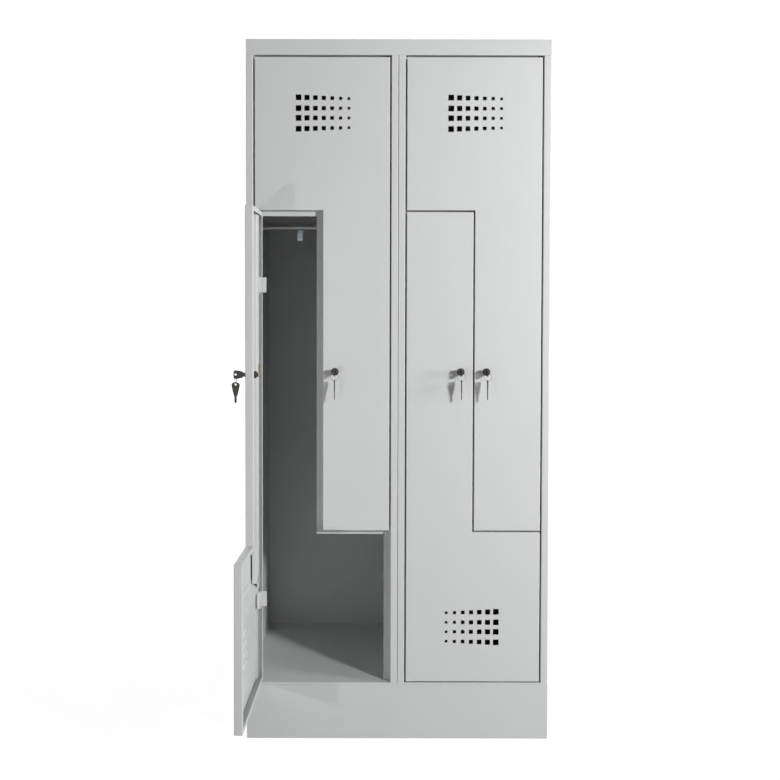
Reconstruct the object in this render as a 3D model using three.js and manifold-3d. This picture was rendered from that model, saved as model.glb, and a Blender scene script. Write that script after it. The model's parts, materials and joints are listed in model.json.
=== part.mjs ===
// Two-column Z locker: four L-shaped compartments, two to a column, on a plinth.
// Millimetres. +X is to the right, -Y is the front, +Z is up.
// The origin is on the floor, at the middle of the footprint.
import * as THREE from 'three';
import { mergeVertices } from 'three/addons/utils/BufferGeometryUtils.js';
import Module from 'manifold-3d';

const wasm = await Module();
wasm.setup();

// Overall sizes
const overallHeight = 1850;
const overallWidth = 800;
const overallDepth = 500;
const plinthHeight = 150;

// Sheet and clearances
const sheet = 1;
const plinthSheet = 1.5;
const bendRadius = 0.8;
const bendSteps = 2;
const seatGap = 0.3;
const overrun = 5;

// Front frame
const stileWidth = 18.5;
const stopSetback = 23;
const sideStopWidth = 18;
const rearFlange = 15;
const centreSeam = 0.8;
const headerHeight = 41;
const headerStopDrop = 18;
const floorLip = 5;

// Plinth
const plinthFlange = 25;
const plinthRailWidth = 40;

// Z-shaped division
const shelfStopHeight = 24;
const dividerStopWidth = 32;

// Doors
const doorGap = 4;
const doorFootGap = 3.5;
const doorTopGap = 5;
const doorDepth = 20;
const doorReturn = 12;
const doorEdgeRadius = 1.2;
const doorWideHeight = 400;
const openDoorAngle = 90.5;

// Vents in the wide part of a door
const ventRows = 4;
const ventColumns = 7;
const ventPitch = 22;
const ventLargest = 15;
const ventSmallest = 7.2;
const ventInnerRow = 12.7;
const ventOuterRowLarge = 41;
const ventOuterRowSmall = 38;
const ventFromFoot = 146.5;
const ventShift = 4;

// Hinges
const pivotInset = 6.5;
const pivotDepth = 7.5;
const pinRadius = 2.5;
const pinClearance = 0.15;
const knuckleRadius = 4;
const knuckleHeight = 40;
const hingeWindow = 44;
const hingeWindowWidth = 10.5;
const hingeWindowFront = 2.5;
const hingeEyeThickness = 2;
const hingeEyeMargin = 4;
const hingeArm = 2;
const hingePlateReach = 28;
const hingePlateThickness = 1.5;
const hingeLow = 215.5;
const hingeHighInset = 192;

// Door stiffener
const stiffenerNear = 60;
const stiffenerFar = 98;
const stiffenerFoot = 15;
const stiffenerSlot = 4.4;
const stiffenerTopMargin = 16;
const barHeight = 284.5;
const barSlope = 11;
const barFlange = 11;

// Cam lock
const lockInset = 32;
const headRadius = 10;
const headFrontRadius = 7;
const headProud = 6;
const barrelRadius = 9.2;
const barrelClearance = 0.3;
const barrelDepth = 24;
const nutRadius = 12;
const nutThickness = 4;
const nutSides = 6;
const plugRadius = 5;
const plugClearance = 0.3;
const plugRecess = 0.4;
const keywayWidth = 2.6;
const keywayHeight = 7.6;
const keywayDepth = 22;
const camSetback = 28.5;
const camThickness = 2;
const camWidth = 12;
const camReach = 26;
const camScrewRadius = 4;
const camScrewHead = 2;

// Keys
const keyThickness = 2;
const keyNeckWidth = 9.5;
const keyNeckLength = 3;
const keyBladeWidth = 7;
const keyBladeLength = 20;
const keyBowWidth = 22;
const keyBowLength = 25;
const keyHoleRadius = 2.75;
const keyHoleInset = 5.5;
const ringRadius = 10.5;
const ringWire = 0.75;
const spareLength = 52;
const spareBowLength = 34;
const spareBladeWidth = 6.5;
const spareCutDepth = 1.6;
const spareCuts = 4;
const spareCutShare = 1 / 3;

// Hanging rails and coat hooks
const railRadius = 7.5;
const railWall = 1;
const railDrop = 35;
const hookWidth = 15;
const hookThickness = 2;
const hookStem = 33;
const hookBendRadius = 8;
const hookProng = 15.5;
const hookFromEdge = 120;
const hookWrapPast = 22.5;

// Facets of round shapes
const roundSides = 20;
const smallSides = 12;
const halfSides = smallSides / 2;

// Planes worked out from the sizes
const left = -overallWidth / 2;
const right = overallWidth / 2;
const front = -overallDepth / 2;
const back = overallDepth / 2;
const backInner = back - sheet;
const wallRear = backInner - seatGap;
const floorTop = plinthHeight;
const wallFoot = floorTop + seatGap;
const topUnder = overallHeight - sheet;
const headerFoot = overallHeight - headerHeight;
const stileTop = headerFoot - seatGap;
const wallTop = topUnder - seatGap;
const stopFront = front + stopSetback;
const stopBack = stopFront + sheet;
const columnWidth = overallWidth / 2;
const doorWidth = columnWidth - 2 * (stileWidth + doorGap);
const doorNarrowWidth = (doorWidth - doorGap) / 2;
const doorBottom = floorTop + doorFootGap;
const doorTop = headerFoot - doorTopGap;
const openingHeight = doorTop - doorBottom;
const doorHeight = openingHeight - doorWideHeight - doorGap;
const hingeHigh = doorHeight - hingeHighInset;
const upperNotch = doorTop - doorWideHeight - doorGap / 2;
const lowerNotch = doorBottom + doorWideHeight + doorGap / 2;
const upperShelfTop = upperNotch + shelfStopHeight / 2;
const lowerShelfTop = lowerNotch + shelfStopHeight / 2;

// Finishes
const paint = { color: 0xc6c8c7, roughness: 0.55, metalness: 0 };
const inside = { color: 0xb4b6b5, roughness: 0.6, metalness: 0 };
const bright = { color: 0xb9bcc0, roughness: 0.25, metalness: 1 };
const brass = { color: 0xa98f55, roughness: 0.35, metalness: 1 };

// Solids from three.js geometry
function toSolid(geometry) {
  const bare = geometry.clone();
  for (const name of Object.keys(bare.attributes)) {
    if (name !== 'position') bare.deleteAttribute(name);
  }
  const merged = mergeVertices(bare);
  const vertProperties = new Float32Array(merged.attributes.position.array);
  const triVerts = new Uint32Array(merged.index.array);
  return new wasm.Manifold(new wasm.Mesh({ numProp: 3, vertProperties, triVerts }));
}

function toGeometry(solid) {
  const mesh = solid.getMesh();
  const geometry = new THREE.BufferGeometry();
  geometry.setAttribute('position', new THREE.BufferAttribute(mesh.vertProperties, 3));
  geometry.setIndex(new THREE.BufferAttribute(mesh.triVerts, 1));
  const loose = geometry.toNonIndexed();
  loose.computeVertexNormals();
  return loose;
}

function box(x0, x1, y0, y1, z0, z1) {
  const geometry = new THREE.BoxGeometry(x1 - x0, y1 - y0, z1 - z0);
  geometry.translate((x0 + x1) / 2, (y0 + y1) / 2, (z0 + z1) / 2);
  return toSolid(geometry);
}

// An outline pushed along an axis. Its coordinates are (x, y) along Z, (y, z) along X and (x, z) along Y.
function extrude(outline, length, basis, offset, options = {}) {
  const shape = new THREE.Shape(outline);
  const geometry = new THREE.ExtrudeGeometry(shape, { depth: length, bevelEnabled: false, ...options });
  geometry.applyMatrix4(basis);
  geometry.translate(offset.x, offset.y, offset.z);
  return toSolid(geometry);
}

const axisX = new THREE.Vector3(1, 0, 0);
const axisY = new THREE.Vector3(0, 1, 0);
const axisZ = new THREE.Vector3(0, 0, 1);
const basisAlongZ = new THREE.Matrix4();
const basisAlongX = new THREE.Matrix4().makeBasis(axisY, axisZ, axisX);
const basisAlongY = new THREE.Matrix4().makeBasis(axisX, axisZ, axisY.clone().negate());

function alongZ(outline, z0, z1) {
  return extrude(outline, z1 - z0, basisAlongZ, new THREE.Vector3(0, 0, z0));
}

function alongX(outline, x0, x1) {
  return extrude(outline, x1 - x0, basisAlongX, new THREE.Vector3(x0, 0, 0));
}

function alongY(outline, y0, y1) {
  return extrude(outline, y1 - y0, basisAlongY, new THREE.Vector3(0, y1, 0));
}

function points(pairs) {
  return pairs.map(([a, b]) => new THREE.Vector2(a, b));
}

// A path with each inner corner turned into an arc
function bentPath(corners, radius) {
  const path = [corners[0]];
  for (let i = 1; i < corners.length - 1; i += 1) {
    const into = corners[i].clone().sub(corners[i - 1]).normalize();
    const out = corners[i + 1].clone().sub(corners[i]).normalize();
    const turn = Math.atan2(into.cross(out), into.dot(out));
    const tangent = radius * Math.abs(Math.tan(turn / 2));
    const start = corners[i].clone().addScaledVector(into, -tangent);
    const side = new THREE.Vector2(-into.y, into.x).multiplyScalar(Math.sign(turn) * radius);
    const centre = start.clone().add(side);
    for (let step = 0; step <= bendSteps; step += 1) {
      path.push(start.clone().rotateAround(centre, (turn * step) / bendSteps));
    }
  }
  path.push(corners[corners.length - 1]);
  return path;
}

// The outline of a sheet whose middle follows a path
function sheetOutline(path, thickness) {
  const sides = [[], []];
  path.forEach((point, i) => {
    const before = i > 0 ? point.clone().sub(path[i - 1]).normalize() : null;
    const after = i < path.length - 1 ? path[i + 1].clone().sub(point).normalize() : null;
    const along = (before ?? after).clone().add(after ?? before).normalize();
    const mitre = thickness / 2 / along.dot(after ?? before);
    const normal = new THREE.Vector2(-along.y, along.x).multiplyScalar(mitre);
    sides[0].push(point.clone().add(normal));
    sides[1].unshift(point.clone().sub(normal));
  });
  return [...sides[0], ...sides[1]];
}

function folded(corners, thickness = sheet) {
  return sheetOutline(bentPath(points(corners), bendRadius + thickness / 2), thickness);
}

function circle(radius, sides, x = 0, y = 0) {
  const corner = (i) => (2 * Math.PI * (i + 0.5)) / sides;
  return Array.from({ length: sides }, (_, i) => new THREE.Vector2(
    x + radius * Math.cos(corner(i)),
    y + radius * Math.sin(corner(i)),
  ));
}

// A turned shape about the Y axis. Each profile point is (y, radius), and the profile closes on itself.
function turned(profile, sides) {
  const closed = [...profile, profile[0]];
  const geometry = new THREE.LatheGeometry(points(closed.map(([y, radius]) => [radius, y])), sides);
  return toSolid(geometry);
}

// The model and its nodes
const locker = new THREE.Group();
locker.name = 'z_locker';

function addNode(parent, name, solid, finish) {
  const mesh = new THREE.Mesh(toGeometry(solid), new THREE.MeshStandardMaterial(finish));
  mesh.name = name;
  parent.add(mesh);
}

// Upright wall: rear flange, wall, front stile, its return and the door stop, folded from one sheet.
// outer is the plane of its outside, edge the column's edge, and inward points into the column.
function wallPanel(outer, edge, inward) {
  const half = sheet / 2;
  const wall = outer + inward * half;
  const stile = edge + inward * (stileWidth - half);
  const profile = folded([
    [outer + inward * rearFlange, wallRear - half],
    [wall, wallRear - half],
    [wall, front + half],
    [stile, front + half],
    [stile, stopFront + half],
    [stile + inward * (sideStopWidth + half), stopFront + half],
  ]);
  const inner = outer + inward * sheet;
  const far = stile + inward * (sideStopWidth + overrun);
  const ahead = front - overrun;
  const behindHeader = front + sheet + seatGap;
  const behindStop = stopBack + overrun;
  const above = wallTop + overrun;
  return alongZ(profile, wallFoot, wallTop)
    .subtract(box(Math.min(inner, far), Math.max(inner, far), ahead, behindStop, stileTop, above))
    .subtract(box(left - overrun, right + overrun, ahead, behindHeader, stileTop, above));
}

const centreLeftOuter = -centreSeam / 2;
const centreRightOuter = centreSeam / 2;
addNode(locker, 'left_side_panel', wallPanel(left, left, 1), paint);
addNode(locker, 'left_centre_wall', wallPanel(centreLeftOuter, 0, -1), paint);
addNode(locker, 'right_centre_wall', wallPanel(centreRightOuter, 0, 1), paint);
addNode(locker, 'right_side_panel', wallPanel(right, right, -1), paint);

addNode(locker, 'back_panel', box(left, right, backInner, back, wallFoot, wallTop), paint);

// Top panel with the header, its return and the stop behind the door tops
function topPanel() {
  const half = sheet / 2;
  const stopFoot = headerFoot - headerStopDrop;
  const profile = folded([
    [back, overallHeight - half],
    [front + half, overallHeight - half],
    [front + half, headerFoot + half],
    [stopFront + half, headerFoot + half],
    [stopFront + half, stopFoot],
  ]);
  const stopReach = stileWidth + sideStopWidth + seatGap;
  const returnFront = front + sheet + seatGap;
  const returnBack = stopBack + overrun;
  const wallSlot = centreRightOuter + sheet + seatGap;
  let solid = alongX(profile, left, right);
  for (const [x0, x1] of [
    [left - overrun, left + stopReach],
    [-stopReach, stopReach],
    [right - stopReach, right + overrun],
  ]) {
    solid = solid.subtract(box(x0, x1, stopFront - overrun, returnBack, stopFoot - overrun, headerFoot));
  }
  const slotFoot = headerFoot - overrun;
  const slotTop = headerFoot + sheet + overrun;
  for (const [x0, x1] of [
    [left - overrun, left + sheet + seatGap],
    [-wallSlot, wallSlot],
    [right - sheet - seatGap, right + overrun],
  ]) {
    solid = solid.subtract(box(x0, x1, returnFront, returnBack, slotFoot, slotTop));
  }
  return solid;
}
addNode(locker, 'top_panel', topPanel(), paint);

// Floor panel: a shallow pan, open below
function floorPanel() {
  const half = sheet / 2;
  const lipFoot = floorTop - floorLip;
  const profile = folded([
    [front + half, lipFoot],
    [front + half, floorTop - half],
    [back - half, floorTop - half],
    [back - half, lipFoot],
  ]);
  const plateMiddle = floorTop - half;
  return alongX(profile, left, right)
    .add(box(left, left + sheet, front + sheet, back - sheet, lipFoot, plateMiddle))
    .add(box(right - sheet, right, front + sheet, back - sheet, lipFoot, plateMiddle));
}
addNode(locker, 'floor_panel', floorPanel(), paint);

// Plinth
const plinthTop = floorTop - floorLip - seatGap;
const plinthInner = front + plinthFlange + seatGap;

function plinthFront() {
  const half = plinthSheet / 2;
  const profile = folded([
    [front + plinthFlange, half],
    [front + half, half],
    [front + half, plinthTop - half],
    [front + plinthFlange, plinthTop - half],
  ], plinthSheet);
  const flangeFront = front + plinthSheet + seatGap;
  const sideRoom = plinthSheet + seatGap;
  const bottom = -overrun;
  return alongX(profile, left, right)
    .subtract(box(left - overrun, left + sideRoom, flangeFront, plinthInner, bottom, plinthTop + overrun))
    .subtract(box(right - sideRoom, right + overrun, flangeFront, plinthInner, bottom, plinthTop + overrun));
}
addNode(locker, 'plinth_front', plinthFront(), paint);

function plinthSurround() {
  const half = plinthSheet / 2;
  const start = front + plinthSheet + seatGap;
  const profile = folded([
    [left + half, start],
    [left + half, back - half],
    [right - half, back - half],
    [right - half, start],
  ], plinthSheet);
  return alongZ(profile, 0, plinthTop);
}
addNode(locker, 'plinth_surround', plinthSurround(), paint);

function plinthCentreRail() {
  const half = plinthSheet / 2;
  const top = floorTop - sheet - seatGap;
  const side = plinthRailWidth / 2 - half;
  const profile = folded([[-side, top], [-side, half], [side, half], [side, top]], plinthSheet);
  return alongY(profile, plinthInner, back - plinthSheet - seatGap);
}
addNode(locker, 'plinth_centre_rail', plinthCentreRail(), paint);

// Z-shaped division of a column
const dividerLipHalf = dividerStopWidth / 2;
const webHalf = sheet / 2;

function divider(centre) {
  const outline = points([
    [centre - dividerLipHalf, stopFront],
    [centre + dividerLipHalf, stopFront],
    [centre + dividerLipHalf, stopBack],
    [centre + webHalf, stopBack],
    [centre + webHalf, wallRear - sheet - seatGap],
    [centre - webHalf, wallRear - sheet - seatGap],
    [centre - webHalf, stopBack],
    [centre - dividerLipHalf, stopBack],
  ]);
  return alongZ(outline, lowerShelfTop - shelfStopHeight, upperShelfTop);
}

// A shelf between a wall and the divider. wall and web are the faces that it meets, and side points from
// the divider to the wall. Its stop ends beside the wall's stop and the divider's.
function shelf(top, centre, wallFace, wallEdge, side) {
  const half = sheet / 2;
  const profile = folded([
    [stopFront + half, top - shelfStopHeight],
    [stopFront + half, top - half],
    [wallRear - sheet - seatGap, top - half],
  ]);
  const atWall = wallFace - side * seatGap;
  const atWeb = centre + side * (webHalf + seatGap);
  const stopAtWall = wallEdge - side * (stileWidth + sideStopWidth + seatGap);
  const stopAtWeb = centre + side * (dividerLipHalf + seatGap);
  const behindStop = stopBack + seatGap;
  let solid = alongX(profile, Math.min(atWall, atWeb), Math.max(atWall, atWeb));
  for (const [a, b] of [[atWall + side * overrun, stopAtWall], [atWeb - side * overrun, stopAtWeb]]) {
    solid = solid.subtract(box(
      Math.min(a, b), Math.max(a, b), front, behindStop, top - shelfStopHeight - overrun, top + overrun,
    ));
  }
  return solid;
}

// Hanging rail between two faces
function rail(x0, x1, z) {
  const inner = railRadius - railWall;
  const geometry = new THREE.LatheGeometry(points([
    [inner, x0 + seatGap],
    [railRadius, x0 + seatGap],
    [railRadius, x1 - seatGap],
    [inner, x1 - seatGap],
    [inner, x0 + seatGap],
  ]), roundSides);
  geometry.rotateZ(-Math.PI / 2);
  geometry.translate(0, 0, z);
  return toSolid(geometry);
}

// Coat hook: a strap that wraps over the rail, drops behind it and turns up in front into a prong
function coatHook(x, z) {
  const wrapRadius = railRadius + seatGap + hookThickness / 2;
  const wrapStart = -THREE.MathUtils.degToRad(hookWrapPast);
  const path = [];
  for (let step = 0; step <= smallSides; step += 1) {
    const angle = wrapStart + ((Math.PI - wrapStart) * step) / smallSides;
    path.push(new THREE.Vector2(-wrapRadius * Math.cos(angle), wrapRadius * Math.sin(angle)));
  }
  for (let step = 0; step <= halfSides; step += 1) {
    const angle = -(Math.PI * step) / halfSides;
    path.push(new THREE.Vector2(
      wrapRadius - hookBendRadius + hookBendRadius * Math.cos(angle),
      -hookStem + hookBendRadius * Math.sin(angle),
    ));
  }
  path.push(new THREE.Vector2(wrapRadius - 2 * hookBendRadius, hookProng - hookStem));
  const outline = sheetOutline(path, hookThickness).map((p) => new THREE.Vector2(p.x, p.y + z));
  return alongX(outline, x - hookWidth / 2, x + hookWidth / 2);
}

// Door outline in its own frame: x from the hinge edge, z from the wide end, drawn in by inset.
function doorOutline(inset) {
  return points([
    [inset, inset],
    [doorWidth - inset, inset],
    [doorWidth - inset, doorWideHeight - inset],
    [doorNarrowWidth - inset, doorWideHeight - inset],
    [doorNarrowWidth - inset, doorHeight - inset],
    [inset, doorHeight - inset],
  ]);
}

const hingeHeights = [hingeLow, hingeHigh];
const lockX = doorNarrowWidth - lockInset;
const lockZ = openingHeight / 2;

function vents() {
  const middle = (ventColumns - 1) / 2;
  const cuts = [];
  for (let column = 0; column < ventColumns; column += 1) {
    const share = column / (ventColumns - 1);
    const size = ventSmallest + (ventLargest - ventSmallest) * share;
    const outer = ventOuterRowSmall + (ventOuterRowLarge - ventOuterRowSmall) * share;
    const x = doorWidth / 2 - ventShift + (column - middle) * ventPitch;
    for (let row = 0; row < ventRows; row += 1) {
      const level = row - (ventRows - 1) / 2;
      const reach = Math.abs(level) < 1 ? ventInnerRow : outer;
      const z = ventFromFoot + Math.sign(level) * reach;
      const half = size / 2;
      cuts.push(box(x - half, x + half, -overrun, sheet + overrun, z - half, z + half));
    }
  }
  return cuts;
}

// Folded door: skin, flanges, returns, vents, lock hole, hinge windows and the eyes beside them
function doorShell() {
  const rounding = {
    bevelEnabled: true,
    bevelThickness: doorEdgeRadius,
    bevelSize: doorEdgeRadius,
    bevelSegments: bendSteps,
  };
  const offset = new THREE.Vector3(0, doorEdgeRadius + doorDepth, 0);
  let solid = extrude(doorOutline(doorEdgeRadius), doorDepth, basisAlongY, offset, rounding);
  const farBack = doorDepth + 2 * doorEdgeRadius + overrun;
  solid = solid
    .subtract(box(-overrun, doorWidth + overrun, doorDepth, farBack, -overrun, doorHeight + overrun))
    .subtract(alongY(doorOutline(sheet), sheet, doorDepth - sheet))
    .subtract(alongY(doorOutline(doorReturn), doorDepth - 2 * sheet, doorDepth + overrun));
  for (const cut of vents()) solid = solid.subtract(cut);
  const lockHole = circle(barrelRadius + barrelClearance, roundSides, lockX, lockZ);
  solid = solid.subtract(alongY(lockHole, -overrun, sheet + overrun));
  const bore = circle(pinRadius + pinClearance, smallSides, pivotInset, pivotDepth);
  for (const z of hingeHeights) {
    const foot = z - hingeWindow / 2;
    const head = z + hingeWindow / 2;
    const window = box(-overrun, hingeWindowWidth, hingeWindowFront, doorDepth + overrun, foot, head);
    solid = solid.subtract(window);
    for (const eyeFoot of [foot - hingeEyeThickness, head]) {
      const eye = box(
        sheet / 2, pivotInset + hingeEyeMargin,
        sheet / 2, pivotDepth + hingeEyeMargin,
        eyeFoot, eyeFoot + hingeEyeThickness,
      );
      solid = solid.add(eye);
    }
    const pastEyes = hingeEyeThickness + sheet;
    solid = solid.subtract(alongZ(bore, foot - pastEyes, head + pastEyes));
  }
  return solid;
}

// Stiffener inside a door: an upright fold beside the hinge edge and a sloping bar across the wide part
function doorStiffener() {
  const half = sheet / 2;
  const skin = sheet + seatGap + half;
  const inner = doorDepth - sheet - seatGap - half;
  const upright = folded([
    [stiffenerNear - stiffenerFoot, skin],
    [stiffenerNear + half, skin],
    [stiffenerNear + half, inner],
    [stiffenerFar - half, inner],
    [stiffenerFar - half, sheet + stiffenerSlot],
  ]);
  const barFoot = barHeight - barSlope;
  const bar = folded([
    [skin, barHeight + barFlange],
    [skin, barHeight],
    [inner, barFoot],
    [inner, barFoot - barFlange],
  ]);
  const innerPlane = inner - half;
  const joint = box(
    stiffenerNear, stiffenerFar,
    innerPlane, innerPlane + sheet,
    barFoot - barFlange, barHeight + barFlange,
  );
  return alongZ(upright, barHeight, doorHeight - stiffenerTopMargin)
    .add(alongX(bar, stiffenerNear, doorWidth - sheet - seatGap))
    .add(joint);
}

// Hinge leaf on the frame: plate on the door stop, arm, knuckle and pin
function hingeLeaf(z) {
  const half = knuckleHeight / 2;
  const pinHalf = hingeWindow / 2 + hingeEyeThickness + sheet;
  const plateBack = stopSetback - seatGap;
  const plateFront = plateBack - hingePlateThickness;
  const armNear = pivotInset - hingeArm / 2;
  return alongZ(circle(knuckleRadius, smallSides, pivotInset, pivotDepth), z - half, z + half)
    .add(alongZ(circle(pinRadius, smallSides, pivotInset, pivotDepth), z - pinHalf, z + pinHalf))
    .add(box(armNear, armNear + hingeArm, pivotDepth, plateBack, z - half, z + half))
    .add(box(armNear, hingePlateReach, plateFront, plateBack, z - half, z + half));
}

// Lock parts, about the lock's axis at the door's front face. The axis runs along Y.
function lockBody() {
  const bore = plugRadius + plugClearance;
  const nutFront = sheet + seatGap;
  const nutBack = nutFront + nutThickness;
  const nut = alongY(circle(nutRadius, nutSides), nutFront, nutBack);
  const core = turned([
    [-headProud, bore],
    [-headProud, headFrontRadius],
    [-seatGap, headRadius],
    [-seatGap, barrelRadius],
    [barrelDepth, barrelRadius],
    [barrelDepth, bore],
  ], roundSides);
  const bored = alongY(circle(barrelRadius - sheet, roundSides), nutFront - overrun, nutBack + overrun);
  return nut.subtract(bored).add(core);
}

function lockPlug() {
  const face = plugRecess - headProud;
  const camMiddle = camSetback + camThickness / 2;
  const camBack = camSetback + camThickness;
  const halfWay = keywayWidth / 2;
  const halfHigh = keywayHeight / 2;
  const cam = [
    ...points([[-camWidth / 2, 0], [-camWidth / 2, -camWidth / 2], [camWidth / 2, -camWidth / 2]]),
    ...arcPoints(camWidth / 2, camReach - camWidth / 2),
  ];
  return alongY(circle(plugRadius, roundSides), face, camMiddle)
    .subtract(box(-halfWay, halfWay, face - overrun, face + keywayDepth, -halfHigh, halfHigh))
    .add(alongY(cam, camSetback, camBack))
    .add(alongY(circle(camScrewRadius, smallSides), camMiddle, camBack + camScrewHead));
}

// A half round from +x over the top to -x, about (0, level)
function arcPoints(radius, level) {
  return Array.from({ length: halfSides + 1 }, (_, i) => {
    const angle = (Math.PI * i) / halfSides;
    return new THREE.Vector2(radius * Math.cos(angle), level + radius * Math.sin(angle));
  });
}

// Half outline of a key's bow: shares of its length from the neck, and of its half width
const bowShares = [[0.08, 0.7], [0.36, 0.86], [0.74, 1], [0.92, 0.94], [1, 0.6]];
const spareBowShares = [[0.1, 0.46], [0.27, 0.62], [0.52, 0.78], [0.76, 0.95], [0.91, 0.86], [1, 0.4]];
const keyRoot = -(headProud + seatGap);
const keyBowRoot = keyRoot - keyNeckLength;
const keyEnd = keyBowRoot - keyBowLength;
const ringSeat = keyHoleRadius - ringWire - seatGap;
const ringY = keyEnd + keyHoleInset;

function doorKey() {
  const neck = keyNeckWidth / 2;
  const blade = keyBladeWidth / 2;
  const upper = [
    [keyRoot + keyBladeLength, blade],
    [keyRoot, blade],
    [keyRoot, neck],
    [keyBowRoot, neck],
    ...bowShares.map(([along, out]) => [keyBowRoot - along * keyBowLength, (out * keyBowWidth) / 2]),
  ];
  const lower = upper.map(([y, z]) => [y, -z]).reverse();
  return alongX(points([...upper, ...lower]), -keyThickness / 2, keyThickness / 2)
    .subtract(alongX(circle(keyHoleRadius, smallSides, ringY, 0), -overrun, overrun));
}

function keyRing() {
  const geometry = new THREE.TorusGeometry(ringRadius, ringWire, halfSides, 2 * smallSides);
  geometry.rotateX(Math.PI / 2);
  geometry.translate(0, ringY, -ringSeat - ringRadius);
  return toSolid(geometry);
}

// Spare key: it hangs on the ring by its hole, its blade down
function spareKey() {
  const wire = -ringSeat - 2 * ringRadius;
  const hole = wire - (keyHoleRadius - ringWire - seatGap);
  const top = hole + keyHoleInset;
  const bowFoot = top - spareBowLength;
  const foot = top - spareLength;
  const neck = keyNeckWidth / 2;
  const blade = spareBladeWidth / 2;
  const cutPitch = (spareLength - spareBowLength) / (spareCuts + 1);
  const bow = spareBowShares.map(([along, out]) => [(out * keyBowWidth) / 2, bowFoot + along * spareBowLength]);
  const cuts = [];
  for (let cut = 0; cut < spareCuts; cut += 1) {
    const level = foot + cutPitch * (cut + 1);
    const half = cutPitch * spareCutShare;
    cuts.push([blade, level - half], [blade - spareCutDepth, level], [blade, level + half]);
  }
  const rightSide = [[blade / 2, foot], ...cuts, [blade, bowFoot], [neck, bowFoot], ...bow];
  const leftSide = [[blade / 2, foot], [blade, foot + blade / 2], [blade, bowFoot], [neck, bowFoot], ...bow]
    .map(([y, z]) => [-y, z])
    .reverse();
  const outline = points([...rightSide, ...leftSide].map(([y, z]) => [ringY + y, z]));
  return alongX(outline, -keyThickness / 2, keyThickness / 2)
    .subtract(alongX(circle(keyHoleRadius, smallSides, ringY, hole), -overrun, overrun));
}

// The Z division, rails and hooks of both columns
const columns = [
  { side: 'left', edge: left, leftFace: left + sheet, rightFace: centreLeftOuter - sheet },
  { side: 'right', edge: 0, leftFace: centreRightOuter + sheet, rightFace: right - sheet },
];

for (const { side, edge, leftFace, rightFace } of columns) {
  const centre = edge + columnWidth / 2;
  const farEdge = edge + columnWidth;
  addNode(locker, `${side}_upper_shelf`, shelf(upperShelfTop, centre, leftFace, edge, -1), inside);
  addNode(locker, `${side}_divider`, divider(centre), inside);
  addNode(locker, `${side}_lower_shelf`, shelf(lowerShelfTop, centre, rightFace, farEdge, 1), inside);
  const lowerRail = upperShelfTop - railDrop;
  const upperRail = topUnder - railDrop;
  addNode(locker, `${side}_lower_rail`, rail(leftFace, centre - webHalf, lowerRail), bright);
  addNode(locker, `${side}_lower_coat_hook`, coatHook(edge + hookFromEdge, lowerRail), bright);
  addNode(locker, `${side}_upper_rail`, rail(leftFace, rightFace, upperRail), bright);
  addNode(locker, `${side}_upper_coat_hook`, coatHook(farEdge - hookFromEdge, upperRail), bright);
}

// Doors. The lower door is hinged at its left edge. The upper door is the same door turned upside down,
// so it is hinged at its right edge. Only the left lower door stands open.
const shell = doorShell();
const stiffener = doorStiffener();
const leaves = { low: hingeLeaf(hingeLow), high: hingeLeaf(hingeHigh) };
const body = lockBody();
const plug = lockPlug();
const key = doorKey();
const ring = keyRing();
const spare = spareKey();

for (const { side, edge } of columns) {
  for (const level of ['lower', 'upper']) {
    const name = `${side}_${level}`;
    const lower = level === 'lower';
    const hand = lower ? 1 : -1;
    const hingeEdge = lower ? edge + stileWidth + doorGap : edge + columnWidth - stileWidth - doorGap;
    const wideEnd = lower ? doorBottom : doorTop;
    const pivotX = hingeEdge + hand * pivotInset;
    const pivotY = front + pivotDepth;

    // What stays on the frame
    const frame = new THREE.Group();
    frame.position.set(hingeEdge, front, wideEnd);
    frame.rotation.y = lower ? 0 : Math.PI;
    locker.add(frame);
    for (const [place, leaf] of Object.entries(leaves)) {
      addNode(frame, `${name}_hinge_leaf_${place}`, leaf, paint);
    }

    // What swings about the pins
    const swing = new THREE.Group();
    swing.position.set(pivotX, pivotY, 0);
    swing.rotation.z = name === 'left_lower' ? -THREE.MathUtils.degToRad(openDoorAngle) : 0;
    locker.add(swing);
    const panel = new THREE.Group();
    panel.position.set(hingeEdge - pivotX, front - pivotY, wideEnd);
    panel.rotation.y = frame.rotation.y;
    swing.add(panel);
    addNode(panel, `${name}_door`, shell, paint);
    addNode(panel, `${name}_door_stiffener`, stiffener, paint);

    // The lock and its keys, upright in every door
    const lock = new THREE.Group();
    lock.position.set(hingeEdge - pivotX + hand * lockX, front - pivotY, wideEnd + hand * lockZ);
    swing.add(lock);
    addNode(lock, `${name}_lock_body`, body, bright);
    addNode(lock, `${name}_lock_plug`, plug, brass);
    addNode(lock, `${name}_key`, key, bright);
    addNode(lock, `${name}_key_ring`, ring, bright);
    addNode(lock, `${name}_spare_key`, spare, bright);
  }
}

export default locker;
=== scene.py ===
import json
import math

import bmesh
import bpy
from mathutils import Matrix, Vector

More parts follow.
